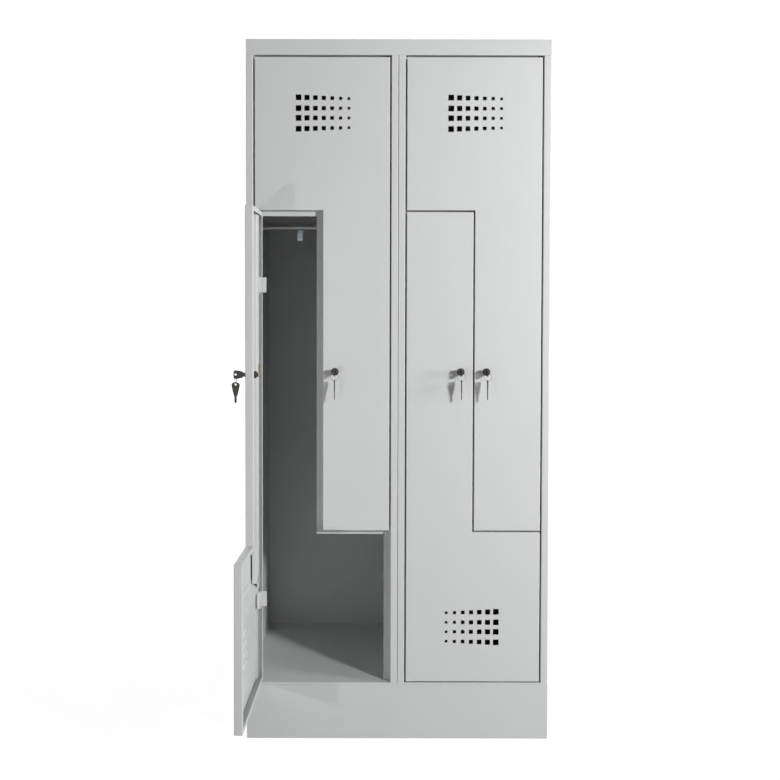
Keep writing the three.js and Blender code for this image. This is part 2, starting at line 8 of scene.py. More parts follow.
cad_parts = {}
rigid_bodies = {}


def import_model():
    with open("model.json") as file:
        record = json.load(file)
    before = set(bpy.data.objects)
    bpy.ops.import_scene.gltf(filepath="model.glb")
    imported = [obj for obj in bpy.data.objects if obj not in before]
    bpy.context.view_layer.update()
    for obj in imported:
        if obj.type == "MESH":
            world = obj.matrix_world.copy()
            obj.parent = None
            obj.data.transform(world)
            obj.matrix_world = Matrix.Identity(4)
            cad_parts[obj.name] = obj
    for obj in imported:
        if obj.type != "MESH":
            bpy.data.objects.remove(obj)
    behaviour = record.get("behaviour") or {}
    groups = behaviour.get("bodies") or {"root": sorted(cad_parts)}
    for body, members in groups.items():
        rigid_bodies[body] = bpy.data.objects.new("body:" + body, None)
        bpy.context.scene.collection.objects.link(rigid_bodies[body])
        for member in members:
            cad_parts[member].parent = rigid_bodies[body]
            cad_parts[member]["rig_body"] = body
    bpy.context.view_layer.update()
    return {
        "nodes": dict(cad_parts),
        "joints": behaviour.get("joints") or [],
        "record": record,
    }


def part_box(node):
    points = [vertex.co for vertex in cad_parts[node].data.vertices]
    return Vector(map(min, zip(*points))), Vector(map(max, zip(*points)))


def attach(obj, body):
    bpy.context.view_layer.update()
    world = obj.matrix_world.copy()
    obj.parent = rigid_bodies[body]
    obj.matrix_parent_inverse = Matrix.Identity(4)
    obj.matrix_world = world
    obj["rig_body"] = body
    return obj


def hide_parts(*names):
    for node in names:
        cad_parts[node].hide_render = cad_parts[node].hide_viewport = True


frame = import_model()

bl_info = {
    "name": "Z locker",
    "version": (1, 0, 0),
    "blender": (4, 5, 0),
    "location": "View3D > Sidebar > Locker",
    "description": "Dresses the steel Z locker: folded sheet, powder coat, cam locks, keys, rails and hooks",
    "category": "Object",
}

MM = 0.001
X, Y, Z = Vector((1, 0, 0)), Vector((0, 1, 0)), Vector((0, 0, 1))
JOINTS = {joint["name"]: joint for joint in frame["joints"]}
SLOTS = {part["node"]: part["material_slot"] for part in frame["record"]["subparts"]}
SIDES = ("left", "right")
LEVELS = ("lower", "upper")
COMPARTMENTS = [(side, level) for side in SIDES for level in LEVELS]
SHELF_WALLS = {
    ("left", "upper"): "left_side_panel", ("left", "lower"): "left_centre_wall",
    ("right", "upper"): "right_centre_wall", ("right", "lower"): "right_side_panel",
}
GROUP_PREFIX = "z_locker_"
MATERIALS = {}

# Making shapes: how far a cut reaches past the metal, when points are one, the steps of rounds, and angles

OVERRUN = 0.005
TINY = 1e-6
SOFT_STEPS = 2
CORNER_STEPS = 4
FOLD_STEPS = 4
ROUND_STEPS = 48
HOOK_STEPS = 16
CAM_STEPS = 8
BOW_STEPS = 3
RING_STEPS = 96
WIRE_SIDES = 10
FOLD_FROM = math.radians(5)
SOFT_FROM = math.radians(32)
SHARP_FROM = math.radians(38)
FACING = 0.9

# Small forms of the doors and hinges: which corner of the outline is the notch's, then sizes and shares

NOTCH_CORNER = 3
LAP_CORNER = 0.003
PIN_ROOM = 0.00015
PIN_DOME = 0.0009
KNUCKLE_DOME = 0.0005
DIMPLE_REACH_SHARE = 0.62
DIMPLE_LEVEL_SHARES = (-0.5, 0.5)

# Small forms of the hooks, locks and keys

WRAP_PAST = math.radians(22.5)
STRAP_SOFTNESS = 0.0003
HEAD_LIP = 0.0006
NUT_SIDES = 6
NUT_SOFTNESS = 0.0006
PLUG_SOFTNESS = 0.0003
KEYWAY_DEPTH = 0.022
CAM_ROUND_SHARE = 0.98
CAM_SOFTNESS = 0.0003
SCREW_DOME = 0.0008
SCREW_SOFTNESS = 0.0001
SLOT_HALF = 0.0005
BOW_CORNER = 0.0012
BOW_SOFTNESS = 0.0002
BOW_SHARES = ((0.08, 0.7), (0.36, 0.86), (0.74, 1), (0.92, 0.94), (1, 0.6))
SPARE_BOW_SHARES = ((0.1, 0.46), (0.27, 0.62), (0.52, 0.78), (0.76, 0.95), (0.91, 0.86), (1, 0.4))
BLADE_LENGTH = 0.02
BLADE_SOFTNESS = 0.0001
BLADE_CUTS = 3
SPARE_BLADE_CUTS = 4
GROOVE_DEPTH = 0.0004

# Finishes: the ranges over which noise changes them, how far their colours stray, and the streaks' depth

NOISE_LOW = 0.3
NOISE_HIGH = 0.7
CLOUD_SHARE = 0.7
CLOUDINESS = 0.015
STAIN_LOW = 0.35
STAIN_HIGH = 0.65
STAIN_SHARE = 0.6
DULLEST = 0.9
BRIGHTEST = 1.06
STREAK_DEPTH = 0.00005

# The stage: the floor's white, the camera, and each light's place, the point that it faces and its side

WHITE = (1, 1, 1, 1)
FLOOR_HALF = 40.0
FLOOR_GREY = (0.5, 0.5, 0.5, 1)
FLOOR_WHITE = 1.18
WHITE_SHARE = 0.8
WHITE_FROM = 1.5
WHITE_PAST = 3.5
SENSOR_WIDTH = 36
VIEW_END = 100
FRONT_MIDDLE = (0, -0.25, 1.0)
LIGHTS = {
    "key": ((2.4, -2.85, 1.72), (0.3, -0.25, 1.9), 0.35),
    "side": ((2.87, -1.13, 1.3), FRONT_MIDDLE, 0.5),
    "top": ((0.2, -0.75, 4.0), (0, -0.3, 0.8), 1.2),
    "low": ((-1.45, -2.4, 0.47), FRONT_MIDDLE, 0.07),
    "back": ((-2.1, 2.5, 1.7), (0, 0.25, 0.9), 1.6),
}


# Sizes and colours that a user would change

def length(name, description, millimetres):
    return bpy.props.FloatProperty(name=name, description=description, default=millimetres * MM,
                                   min=0, unit="LENGTH", precision=5)


def angle(name, description, degrees):
    return bpy.props.FloatProperty(name=name, description=description, default=math.radians(degrees),
                                   subtype="ANGLE")


def power(name, description, watts):
    return bpy.props.FloatProperty(name=name, description=description, default=watts, min=0, unit="POWER")


def colour(name, description, default):
    return bpy.props.FloatVectorProperty(name=name, description=description, default=default,
                                         subtype="COLOR", size=3, min=0, max=1)


class ZLockerSheet(bpy.types.PropertyGroup):
    thickness: length("Sheet", "Thickness of the folded sheet", 1)
    plinth: length("Plinth sheet", "Thickness of the plinth's sheet", 1.5)
    fold: length("Fold", "Inner radius of a fold", 0.8)
    softness: length("Edge softness", "Rounding that the coat gives to a cut edge", 0.14)
    seat: length("Seat", "Space between pieces that touch", 0.3)
    stile: length("Stile", "Width of a front stile", 18.5)
    setback: length("Stop setback", "Depth of the door stops behind the front", 23)
    side_stop: length("Side stop", "Width of a door stop at a wall", 18)
    rear_flange: length("Rear flange", "Width of the flange behind a wall", 15)
    header: length("Header", "Height of the header over the doors", 41)


class ZLockerDoor(bpy.types.PropertyGroup):
    width: length("Width", "Width of the wide part", 355)
    narrow: length("Narrow width", "Width of the narrow part", 175.5)
    wide_height: length("Wide height", "Height of the wide part", 400)
    height: length("Height", "Height of the whole door", 1246.5)
    depth: length("Depth", "Depth of the flanges", 20)
    reach: length("Return", "Reach of the returns from the door's edge", 12)
    slit: length("Mitre slit", "Width of the slit where two returns meet", 0.5)
    relief: length("Corner relief", "Radius of the relief hole at a return's corner", 1.6)


class ZLockerVents(bpy.types.PropertyGroup):
    columns: bpy.props.IntProperty(name="Columns", description="Columns of vents", default=7, min=2)
    pitch: length("Pitch", "Distance between columns", 22)
    largest: length("Largest", "Side of the largest square", 15)
    smallest: length("Smallest", "Side of the smallest square", 7.2)
    inner_row: length("Inner rows", "Distance of the inner rows from the middle", 12.7)
    outer_large: length("Outer rows, large end", "Distance of the outer rows at the large end", 41)
    outer_small: length("Outer rows, small end", "Distance of the outer rows at the small end", 38)
    level: length("Level", "Distance of the middle from the wide end", 146.5)
    shift: length("Shift", "Shift of the field towards the hinge", 4)
    corner: length("Corner", "Radius of a square's corners", 0.9)


class ZLockerHinge(bpy.types.PropertyGroup):
    inset: length("Inset", "Distance of the pin from the door's edge", 6.5)
    behind: length("Depth", "Depth of the pin behind the front", 7.5)
    pin: length("Pin", "Radius of the pin", 2.5)
    knuckle: length("Knuckle", "Radius of the knuckle", 4)
    tall: length("Height", "Height of the knuckle", 40)
    window: length("Window", "Height of the window in the door", 44)
    window_width: length("Window width", "Width of the window in the return", 10.5)
    window_front: length("Window front", "Sheet left in front of the window", 2.5)
    eye: length("Eye", "Thickness of an eye", 2)
    eye_margin: length("Eye margin", "Metal round the pin's middle", 4)
    leaf: length("Leaf", "Thickness of the leaf on the frame", 1.5)
    plate_reach: length("Plate reach", "Reach of the leaf's plate", 28)
    low: length("Low hinge", "Distance of one hinge from the wide end", 215.5)
    high_inset: length("High hinge", "Distance of the other from the narrow end", 192)
    dimple: length("Weld dimple", "Radius of a spot weld's dimple", 2.2)
    dimple_depth: length("Dimple depth", "Depth of a spot weld's dimple", 0.3)


class ZLockerStiffener(bpy.types.PropertyGroup):
    near: length("Near wall", "Distance of the upright's near wall from the hinge edge", 60)
    far: length("Far wall", "Distance of the upright's far wall from the hinge edge", 98)
    foot: length("Foot", "Width of the upright's foot on the skin", 15)
    slot: length("Slot", "Gap between the far wall and the skin", 4.4)
    top_margin: length("Margin", "Distance of the upright from the narrow end", 16)
    bar: length("Bar", "Distance of the bar from the wide end", 284.5)
    slope: length("Slope", "Fall of the bar towards the room", 11)
    flange: length("Bar flange", "Width of the bar's flanges", 11)


class ZLockerLock(bpy.types.PropertyGroup):
    inset: length("Inset", "Distance of the lock from the narrow part's edge", 32)
    head: length("Head", "Radius of the head at the door", 10)
    face: length("Face", "Radius of the head's face", 7)
    proud: length("Proud", "Depth of the head", 6)
    barrel: length("Barrel", "Radius of the threaded barrel", 9.2)
    barrel_depth: length("Barrel depth", "End of the barrel behind the front", 24)
    thread: length("Thread", "Depth of the thread", 0.5)
    thread_pitch: length("Thread pitch", "Distance between turns of the thread", 1.25)
    hole: length("Hole", "Radius of the hole in the door", 9.5)
    nut: length("Nut", "Radius of the nut over its corners", 12)
    nut_thickness: length("Nut thickness", "Thickness of the nut", 4)
    plug: length("Plug", "Radius of the plug", 5)
    bore: length("Bore", "Radius of the bore in the head", 5.3)
    recess: length("Recess", "Depth of the plug's face in the head", 0.4)
    keyway: length("Keyway", "Width of the keyway", 2.6)
    keyway_height: length("Keyway height", "Height of the keyway", 7.6)
    cam_setback: length("Cam setback", "Depth of the cam behind the front", 28.5)
    cam: length("Cam", "Thickness of the cam", 2)
    cam_width: length("Cam width", "Width of the cam", 12)
    cam_reach: length("Cam reach", "Reach of the cam from the axis", 26)
    screw: length("Screw", "Radius of the cam screw's head", 4)
    screw_head: length("Screw head", "Height of the cam screw's head", 2)


class ZLockerKey(bpy.types.PropertyGroup):
    thickness: length("Thickness", "Thickness of a key", 2)
    neck: length("Neck", "Width of the neck", 9.5)
    neck_length: length("Neck length", "Length of the neck of the key in the lock", 3)
    blade: length("Blade", "Width of the blade", 7)
    bow: length("Bow", "Width of the bow", 22)
    bow_length: length("Bow length", "Length of the bow of the key in the lock", 25)
    rim: length("Rim", "Width of the raised rim round the bow", 2.2)
    sunk: length("Sunk", "Depth of the bow's middle under its rim", 0.3)
    hole: length("Hole", "Radius of the hole for the ring", 2.75)
    hole_inset: length("Hole inset", "Distance of the hole from the bow's end", 5.5)
    ring: length("Ring", "Radius of the split ring to the middle of its wire", 10.5)
    wire: length("Wire", "Thickness of the split ring's wire", 0.65)
    spare: length("Spare key", "Length of the spare key", 52)
    spare_bow: length("Spare bow", "Length of the spare key's bow", 34)
    spare_blade: length("Spare blade", "Width of the spare key's blade", 6.5)
    cut: length("Cut", "Depth of a cut in the spare key's blade", 1.6)
    groove: length("Groove", "Width of the groove along the blade", 1.6)


class ZLockerRail(bpy.types.PropertyGroup):
    wall: length("Tube wall", "Wall of the rail's tube", 1)
    strap: length("Strap", "Thickness of a coat hook's strap", 2)
    stem: length("Stem", "Drop of the hook below the rail's middle", 33)
    bend: length("Bend", "Radius of the hook's bend", 8)
    prong: length("Prong", "Height of the upturned prong", 15.5)
    wrap: length("Wrap", "Width of the strap where it wraps the rail", 13)
    slot: length("Slot", "Width of the slot in the wrap", 2.6)
    slot_shift: length("Slot shift", "Shift of the slot to the right", 1.6)


class ZLockerPaint(bpy.types.PropertyGroup):
    light_grey: colour("Powder coat", "Colour of the powder coat", (0.605, 0.612, 0.612))
    coat_roughness: bpy.props.FloatProperty(
        name="Coat roughness", description="Roughness of the satin powder coat", default=0.5, min=0, max=1)
    peel_depth: length("Orange peel", "Depth of the powder coat's fine waves", 0.06)
    rail_zinc: colour("Rails", "Colour of the rails' zinc plate", (0.40, 0.41, 0.40))
    hook_zinc: colour("Hooks", "Colour of the hooks' zinc plate", (0.34, 0.40, 0.44))
    # Near-black lock nickel: painted shade that stands in for the dark room the bright plate reflects
    lock_nickel_painted_dark: colour("Locks", "Colour of the locks' nickel plate", (0.085, 0.082, 0.088))
    nut_brass: colour("Nuts", "Colour of the lock nuts' dull brass", (0.46, 0.33, 0.16))
    # Near-black key nickel: painted shade that stands in for the dark room the bright plate reflects
    key_nickel: colour("Keys", "Colour of the keys' nickel plate", (0.052, 0.049, 0.043))


class ZLockerStage(bpy.types.PropertyGroup):
    camera_place: bpy.props.FloatVectorProperty(
        name="Camera", description="Place of the camera", subtype="TRANSLATION", unit="LENGTH",
        default=(-0.029, -2.855, 1.136))
    camera_pitch: angle("Camera pitch", "How far the camera looks down", 1.567)
    camera_roll: angle("Camera roll", "How far the camera leans to one side", -0.131)
    lens: bpy.props.FloatProperty(
        name="Lens", description="Focal length in millimetres on a 36 mm sensor", default=45.61, min=1)
    shift: bpy.props.FloatVectorProperty(
        name="Lens shift", description="Shift of the lens, as shares of the frame", size=2,
        default=(0.0038, -0.065))
    key_power: power("Key light", "Power of the light at the front right", 108)
    side_power: power("Side light", "Power of the light at the right side", 34)
    top_power: power("Top light", "Power of the large light overhead", 4)
    low_power: power("Low light", "Power of the small light low on the left", 7.5)
    back_power: power("Back light", "Power of the large light behind", 75)
    room_strength: bpy.props.FloatProperty(
        name="Room light", description="Strength of the even light all round", default=0.0, min=0)


def sizes(name):
    """The scene's own values of one group of sizes or colours."""
    return getattr(bpy.context.scene, GROUP_PREFIX + name)


# Shader maths

class Wire:
    """A shader socket that can stand in sums."""

    def __init__(self, shader, socket):
        self.shader = shader
        self.socket = socket

    def maths(self, operation, first, second):
        return self.shader.node("ShaderNodeMath", {"operation": operation}, {0: first, 1: second})

    def __add__(self, other):
        return self.maths("ADD", self, other)

    def __radd__(self, other):
        return self.maths("ADD", other, self)

    def __mul__(self, other):
        return self.maths("MULTIPLY", self, other)

    def __rmul__(self, other):
        return self.maths("MULTIPLY", other, self)


class Shader:
    """The nodes of a material or of the world."""

    def __init__(self, owner, output):
        owner.use_nodes = True
        self.tree = owner.node_tree
        self.tree.nodes.clear()
        self.output = self.tree.nodes.new(output)

    def node(self, kind, settings=None, inputs=None, output=0):
        """Makes a node: its settings first, then the values or links of its sockets."""
        made = self.tree.nodes.new(kind)
        for name, value in (settings or {}).items():
            if name == "stops":
                for element, (place, shade) in zip(made.color_ramp.elements, value):
                    element.position = place
                    element.color = shade
            else:
                setattr(made, name, value)
        for socket, value in (inputs or {}).items():
            target = made.inputs[socket]
            if isinstance(value, Wire):
                self.tree.links.new(value.socket, target)
            else:
                target.default_value = value
        return Wire(self, made.outputs[output])

    def show(self, surface):
        """Ends the nodes with what the surface shows."""
        self.tree.links.new(surface.socket, self.output.inputs["Surface"])

    def coordinates(self):
        return self.node("ShaderNodeTexCoord", output="Object")

    def noise(self, scale, detail, stretch=(1, 1, 1)):
        place = self.node("ShaderNodeMapping", {}, {"Vector": self.coordinates(), "Scale": stretch})
        return self.node("ShaderNodeTexNoise", {}, {"Vector": place, "Scale": scale, "Detail": detail})

    def ramp(self, fac, first, last, low, high):
        """A colour from first to last as fac goes from low to high."""
        return self.node("ShaderNodeValToRGB", {"stops": ((low, first), (high, last))}, {"Fac": fac})

    def spread(self, fac, low, high):
        """A number from low to high over the range where noise mostly lies."""
        return self.node("ShaderNodeMapRange", {}, {
            "Value": fac, "From Min": NOISE_LOW, "From Max": NOISE_HIGH, "To Min": low, "To Max": high})

    def bump(self, height, strength, distance, below=None):
        inputs = {"Height": height, "Strength": strength, "Distance": distance}
        if below is not None:
            inputs["Normal"] = below
        return self.node("ShaderNodeBump", {}, inputs)

    def finish(self, base, gloss, metallic, normal):
        self.show(self.node("ShaderNodeBsdfPrincipled", {}, {
            "Base Color": base, "Roughness": gloss, "Metallic": metallic, "Normal": normal}))


def new_shader(name):
    """A new material's nodes, with the material itself."""
    material = bpy.data.materials.new(name)
    return material, Shader(material, "ShaderNodeOutputMaterial")


def tint(base, factor):
    """A colour times a factor, for a socket."""
    return tuple(min(1.0, channel * factor) for channel in base) + (1.0,)


def powder_coat(name, shade=1.0, rougher=0.0):
    """Satin powder coat: fine orange peel, a slight cloudiness and uneven gloss."""
    paint = sizes("paint")
    rough, peel = paint.coat_roughness + rougher, paint.peel_depth
    material, shader = new_shader(name)
    cloud = shader.noise(scale=3.5, detail=3)
    grain = shader.noise(scale=900, detail=1)
    base = shader.ramp(cloud * CLOUD_SHARE + grain * (1 - CLOUD_SHARE),
                       tint(paint.light_grey, shade * (1 - CLOUDINESS)),
                       tint(paint.light_grey, shade * (1 + CLOUDINESS)), NOISE_LOW, NOISE_HIGH)
    gloss = shader.spread(shader.noise(scale=14, detail=3), low=rough - 0.04, high=rough + 0.05)
    waves = shader.bump(shader.noise(scale=420, detail=2), strength=0.55, distance=peel)
    normal = shader.bump(shader.noise(scale=1700, detail=1), strength=0.25, distance=peel * 0.4, below=waves)
    shader.finish(base, gloss, 0.0, normal)
    return material


def plated_metal(name, base_colour, roughness, streak, scratch=0.2):
    """Plated metal: drawn streaks, faint stains and fine scratches."""
    material, shader = new_shader(name)
    drawn = shader.noise(scale=160, detail=4, stretch=streak)
    stains = shader.noise(scale=60, detail=3)
    base = shader.ramp(stains * STAIN_SHARE + drawn * (1 - STAIN_SHARE), tint(base_colour, DULLEST),
                       tint(base_colour, BRIGHTEST), STAIN_LOW, STAIN_HIGH)
    gloss = shader.spread(drawn, low=roughness * 0.75, high=roughness * 1.35)
    normal = shader.bump(drawn, strength=scratch, distance=STREAK_DEPTH)
    shader.finish(base, gloss, 1.0, normal)
    return material


def make_materials():
    paint = sizes("paint")
    return {
        "carcass_paint": powder_coat("carcass_powder_coat"),
        "door_paint": powder_coat("door_powder_coat", shade=1.01),
        "inside_paint": powder_coat("inside_powder_coat", shade=0.99, rougher=0.05),
        "hinge_paint": powder_coat("hinge_powder_coat", shade=1.05, rougher=-0.05),
        "rail_steel": plated_metal("zinc_plated_tube", paint.rail_zinc, 0.5, (0.05, 1, 1)),
        "hook_steel": plated_metal("zinc_plated_strap", paint.hook_zinc, 0.3, (1, 1, 0.1)),
        # The lock nickel's near-black base is painted shade, standing in for a dark reflected room
        "lock_chrome": plated_metal("nickel_plate", paint.lock_nickel_painted_dark, 0.1, (1, 1, 1), scratch=0.05),
        "lock_brass": plated_metal("dull_brass", paint.nut_brass, 0.34, (1, 1, 1)),
        # The key nickel's near-black base is painted shade, standing in for a dark reflected room
        "key_steel": plated_metal("key_nickel", paint.key_nickel, 0.22, (1, 1, 0.2)),
    }


# Shapes

def placed(axis, along, a, b):
    """A point given by its place along an axis and its two other coordinates, in the order x, y, z."""
    return Vector({"X": (along, a, b), "Y": (a, along, b), "Z": (a, b, along)}[axis])


def new_verts(geometry):
    return [item for item in geometry if isinstance(item, bmesh.types.BMVert)]


def strip(path, axis, low, high):
    """An open sheet whose middle follows a path, from low to high along an axis."""
    bm = bmesh.new()
    verts = [bm.verts.new(placed(axis, low, a, b)) for a, b in path]
    edges = [bm.edges.new(pair) for pair in zip(verts, verts[1:])]
    grown = bmesh.ops.extrude_edge_only(bm, edges=edges)["geom"]
    bmesh.ops.translate(bm, verts=new_verts(grown), vec=placed(axis, high - low, 0, 0))
    return bm


def fold_edges(bm, radius):
    """Rounds every edge where two flat stretches meet."""
    folds = [edge for edge in bm.edges if len(edge.link_faces) == 2 and edge.calc_face_angle() > FOLD_FROM]
    bmesh.ops.bevel(bm, geom=folds, offset=radius, offset_type="OFFSET", segments=FOLD_STEPS,
                    profile=0.5, affect="EDGES", material=-1)
    return bm


def folded(path, axis, low, high, thickness=None):
    """An open sheet with rounded folds."""
    sheet = sizes("sheet")
    return fold_edges(strip(path, axis, low, high), sheet.fold + (thickness or sheet.thickness) / 2)


def cut_out(bm, corner, opposite):
    """Takes away what an open sheet has inside a box."""
    low = [min(pair) for pair in zip(corner, opposite)]
    high = [max(pair) for pair in zip(corner, opposite)]
    for index, normal in enumerate((X, Y, Z)):
        for place in (low[index], high[index]):
            bmesh.ops.bisect_plane(bm, geom=bm.verts[:] + bm.edges[:] + bm.faces[:], dist=TINY,
                                   plane_co=normal * place, plane_no=normal)
    inside = [face for face in bm.faces if all(
        least < middle < most for least, middle, most in zip(low, face.calc_center_median(), high))]
    bmesh.ops.delete(bm, geom=inside, context="FACES")


def plate(outline, axis, low, high, corner=0, steps=CORNER_STEPS):
    """A flat plate along an axis, with the corners of its outline rounded where a radius is given."""
    bm = bmesh.new()
    face = bm.faces.new([bm.verts.new(placed(axis, low, a, b)) for a, b in outline])
    if corner:
        bmesh.ops.bevel(bm, geom=face.verts[:], offset=corner, segments=steps, profile=0.5,
                        affect="VERTICES", clamp_overlap=True, material=-1)
    grown = bmesh.ops.extrude_face_region(bm, geom=bm.faces[:])["geom"]
    bmesh.ops.translate(bm, verts=new_verts(grown), vec=placed(axis, high - low, 0, 0))
    bmesh.ops.recalc_face_normals(bm, faces=bm.faces[:])
    return bm


def block(corner, opposite):
    """A plain cutting block between two corners."""
    (x0, y0, z0), (x1, y1, z1) = corner, opposite
    return plate([(x0, y0), (x1, y0), (x1, y1), (x0, y1)], "Z", z0, z1)


def turned(profile, axis, at=(0, 0, 0)):
    """A turned solid about an axis through a point. A profile point is (place along the axis, radius)."""
    bm = bmesh.new()
    at = Vector(at)
    verts = [bm.verts.new(at + placed(axis, along, radius, 0)) for along, radius in profile]
    ends = zip(verts, verts[1:] + verts[:1]) if profile[0][1] > 0 else zip(verts, verts[1:])
    edges = [bm.edges.new(pair) for pair in ends]
    bmesh.ops.spin(bm, geom=verts + edges, cent=at, axis=placed(axis, 1, 0, 0), dvec=(0, 0, 0),
                   angle=math.tau, steps=ROUND_STEPS, use_merge=True)
    bmesh.ops.remove_doubles(bm, verts=bm.verts[:], dist=TINY)
    bmesh.ops.recalc_face_normals(bm, faces=bm.faces[:])
    return bm


def rod(radius, axis, low, high, at=(0, 0, 0), dome=0):
    """A round rod, its ends flat or domed."""
    return turned([(low, 0), (low, radius - dome), (low + dome, radius),
                   (high - dome, radius), (high, radius - dome), (high, 0)], axis, at)


def rectangle(low, high, across_low, across_high):
    """The outline of a rectangular plate."""
    return [(low, across_low), (high, across_low), (high, across_high), (low, across_high)]


def joined(parts):
    """One bmesh of several, which it frees."""
    whole = bmesh.new()
    for part in parts:
        mesh = bpy.data.meshes.new("part")
        part.to_mesh(mesh)
        part.free()
        whole.from_mesh(mesh)
        bpy.data.meshes.remove(mesh)
    return whole


def shape_of(bm, name):
    mesh = bpy.data.meshes.new(name)
    bm.to_mesh(mesh)
    bm.free()
    shape = bpy.data.objects.new(name, mesh)
    bpy.context.scene.collection.objects.link(shape)
    return shape


def solid(bm, thickness=0, holes=(), softness=None):
    """A closed mesh. An open sheet gets its thickness, each set of holes is cut, and edges are softened."""
    if thickness:
        bmesh.ops.recalc_face_normals(bm, faces=bm.faces[:])
    shape = shape_of(bm, "shape")
    cutters = [shape_of(each, "holes") for each in holes]
    if thickness:
        wall = shape.modifiers.new("wall", "SOLIDIFY")
        wall.thickness = thickness
        wall.offset = 0
        wall.use_even_offset = True
        wall.use_quality_normals = True
    for cutter in cutters:
        cut = shape.modifiers.new("holes", "BOOLEAN")
        cut.operation = "DIFFERENCE"
        cut.solver = "EXACT"
        cut.object = cutter
    width = sizes("sheet").softness if softness is None else softness
    if width:
        soft = shape.modifiers.new("softness", "BEVEL")
        soft.width = width
        soft.segments = SOFT_STEPS
        soft.limit_method = "ANGLE"
        soft.angle_limit = SOFT_FROM
        soft.use_clamp_overlap = True
    mesh = bpy.data.meshes.new_from_object(shape.evaluated_get(bpy.context.evaluated_depsgraph_get()))
    for used in (shape, *cutters):
        old = used.data
        bpy.data.objects.remove(used)
        bpy.data.meshes.remove(old)
    bm = bmesh.new()
    bm.from_mesh(mesh)
    bmesh.ops.dissolve_degenerate(bm, dist=TINY * 2, edges=bm.edges[:])
    bm.to_mesh(mesh)
    bm.free()
    mesh.shade_smooth()
    mesh.set_sharp_from_angle(angle=SHARP_FROM)
    return mesh


def with_mesh(first, second):
    """The first mesh with the second one added, which it removes."""
    bm = bmesh.new()
    bm.from_mesh(first)
    bm.from_mesh(second)
    bm.to_mesh(first)
    bm.free()
    first.set_sharp_from_angle(angle=SHARP_FROM)
    bpy.data.meshes.remove(second)
    return first


def add_piece(name, mesh, node, stands=True, slot=None, place=None):
    """Places a copy of a mesh as a piece that rides with a node, and stands for it or goes beside it."""
    mesh = mesh.copy()
    mesh.name = name
    if place is not None:
        mesh.transform(place)
    slot = slot or SLOTS[node]
    mesh.materials.clear()
    mesh.materials.append(MATERIALS[slot])
    piece = bpy.data.objects.new(name, mesh)
    bpy.context.scene.collection.objects.link(piece)
    normals = piece.modifiers.new("normals", "WEIGHTED_NORMAL")
    normals.keep_sharp = True
    if stands:
        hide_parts(node)
    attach(piece, frame["nodes"][node]["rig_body"])


# Places

def turned_over(level):
    """The upper door is the lower one turned upside down about the front's normal."""
    return Matrix.Rotation(0 if level == "lower" else math.pi, 4, "Y")


def compartment(side, level):
    """Where a compartment's frame, door and lock stand at rest, each as a matrix from its own frame."""
    name = f"{side}_{level}"
    hinge, door, lock = sizes("hinge"), sizes("door"), sizes("lock")
    swing = JOINTS[f"{name}_door_swing"]
    shut = math.radians(swing["range_deg"][1 if level == "lower" else 0])
    hand = 1 if level == "lower" else -1
    pivot = Vector((swing["pos_m"][0], swing["pos_m"][1], 0))
    foot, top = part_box(f"{name}_door")
    edge = Vector((pivot.x - hand * hinge.inset, pivot.y - hinge.behind, foot.z if hand > 0 else top.z))
    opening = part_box(f"{side}_upper_door")[1].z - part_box(f"{side}_lower_door")[0].z
    turn = Matrix.Translation(pivot) @ Matrix.Rotation(-shut, 4, "Z") @ Matrix.Translation(-pivot)
    lock_place = Vector((hand * (door.narrow - lock.inset), 0, hand * opening / 2))
    return {
        "frame": Matrix.Translation(edge) @ turned_over(level),
        "door": turn @ Matrix.Translation(edge) @ turned_over(level),
        "lock": turn @ Matrix.Translation(edge + lock_place),
    }


# Operators

class ZLOCKER_OT_paint(bpy.types.Operator):
    """Makes the finishes and gives them to the nodes"""
    bl_idname = "zlocker.paint"
    bl_label = "Make the finishes"

    def execute(self, context):
        MATERIALS.update(make_materials())
        for name, node in frame["nodes"].items():
            node.data.materials.clear()
            node.data.materials.append(MATERIALS[SLOTS[name]])
        return {"FINISHED"}


class ZLOCKER_OT_walls(bpy.types.Operator):
    """Folds the two side panels and the two centre walls, and closes the back"""
    bl_idname = "zlocker.walls"
    bl_label = "Walls"

    def execute(self, context):
        for node, inward in (("left_side_panel", 1), ("left_centre_wall", -1),
                             ("right_centre_wall", 1), ("right_side_panel", -1)):
            self.wall(node, inward)
        self.back()
        return {"FINISHED"}

    def wall(self, node, inward):
        """One fold of rear flange, wall, stile, its return and the door stop. Inward is 1 or -1 along X."""
        sheet = sizes("sheet")
        half = sheet.thickness / 2
        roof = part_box("top_panel")[1].z
        stile_top = roof - sheet.header - sheet.seat
        low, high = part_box(node)
        outer, far = (low.x, high.x) if inward > 0 else (high.x, low.x)
        edge = 0 if "centre" in node else outer
        stile, stop = edge + inward * (sheet.stile - half), low.y + sheet.setback + half
        bm = folded([
            (outer + inward * sheet.rear_flange, high.y - half),
            (outer + inward * half, high.y - half),
            (outer + inward * half, low.y + half),
            (stile, low.y + half),
            (stile, stop),
            (far, stop),
        ], "Z", low.z, high.z)
        cut_out(bm, (outer + inward * sheet.thickness, low.y - OVERRUN, stile_top),
                (far + inward * OVERRUN, stop + OVERRUN, roof))
        cut_out(bm, (low.x - OVERRUN, low.y - OVERRUN, stile_top),
                (high.x + OVERRUN, low.y + sheet.thickness + sheet.seat, roof))
        add_piece(f"{node}_sheet", solid(bm, sheet.thickness), node)

    def back(self):
        """The back sheet, which reaches down past the floor pan's rounded rear fold."""
        low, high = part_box("back_panel")
        outline = rectangle(low.x, high.x, low.z - 2 * sizes("sheet").seat, high.z)
        add_piece("back_panel_sheet", solid(plate(outline, "Y", low.y, high.y)), "back_panel")


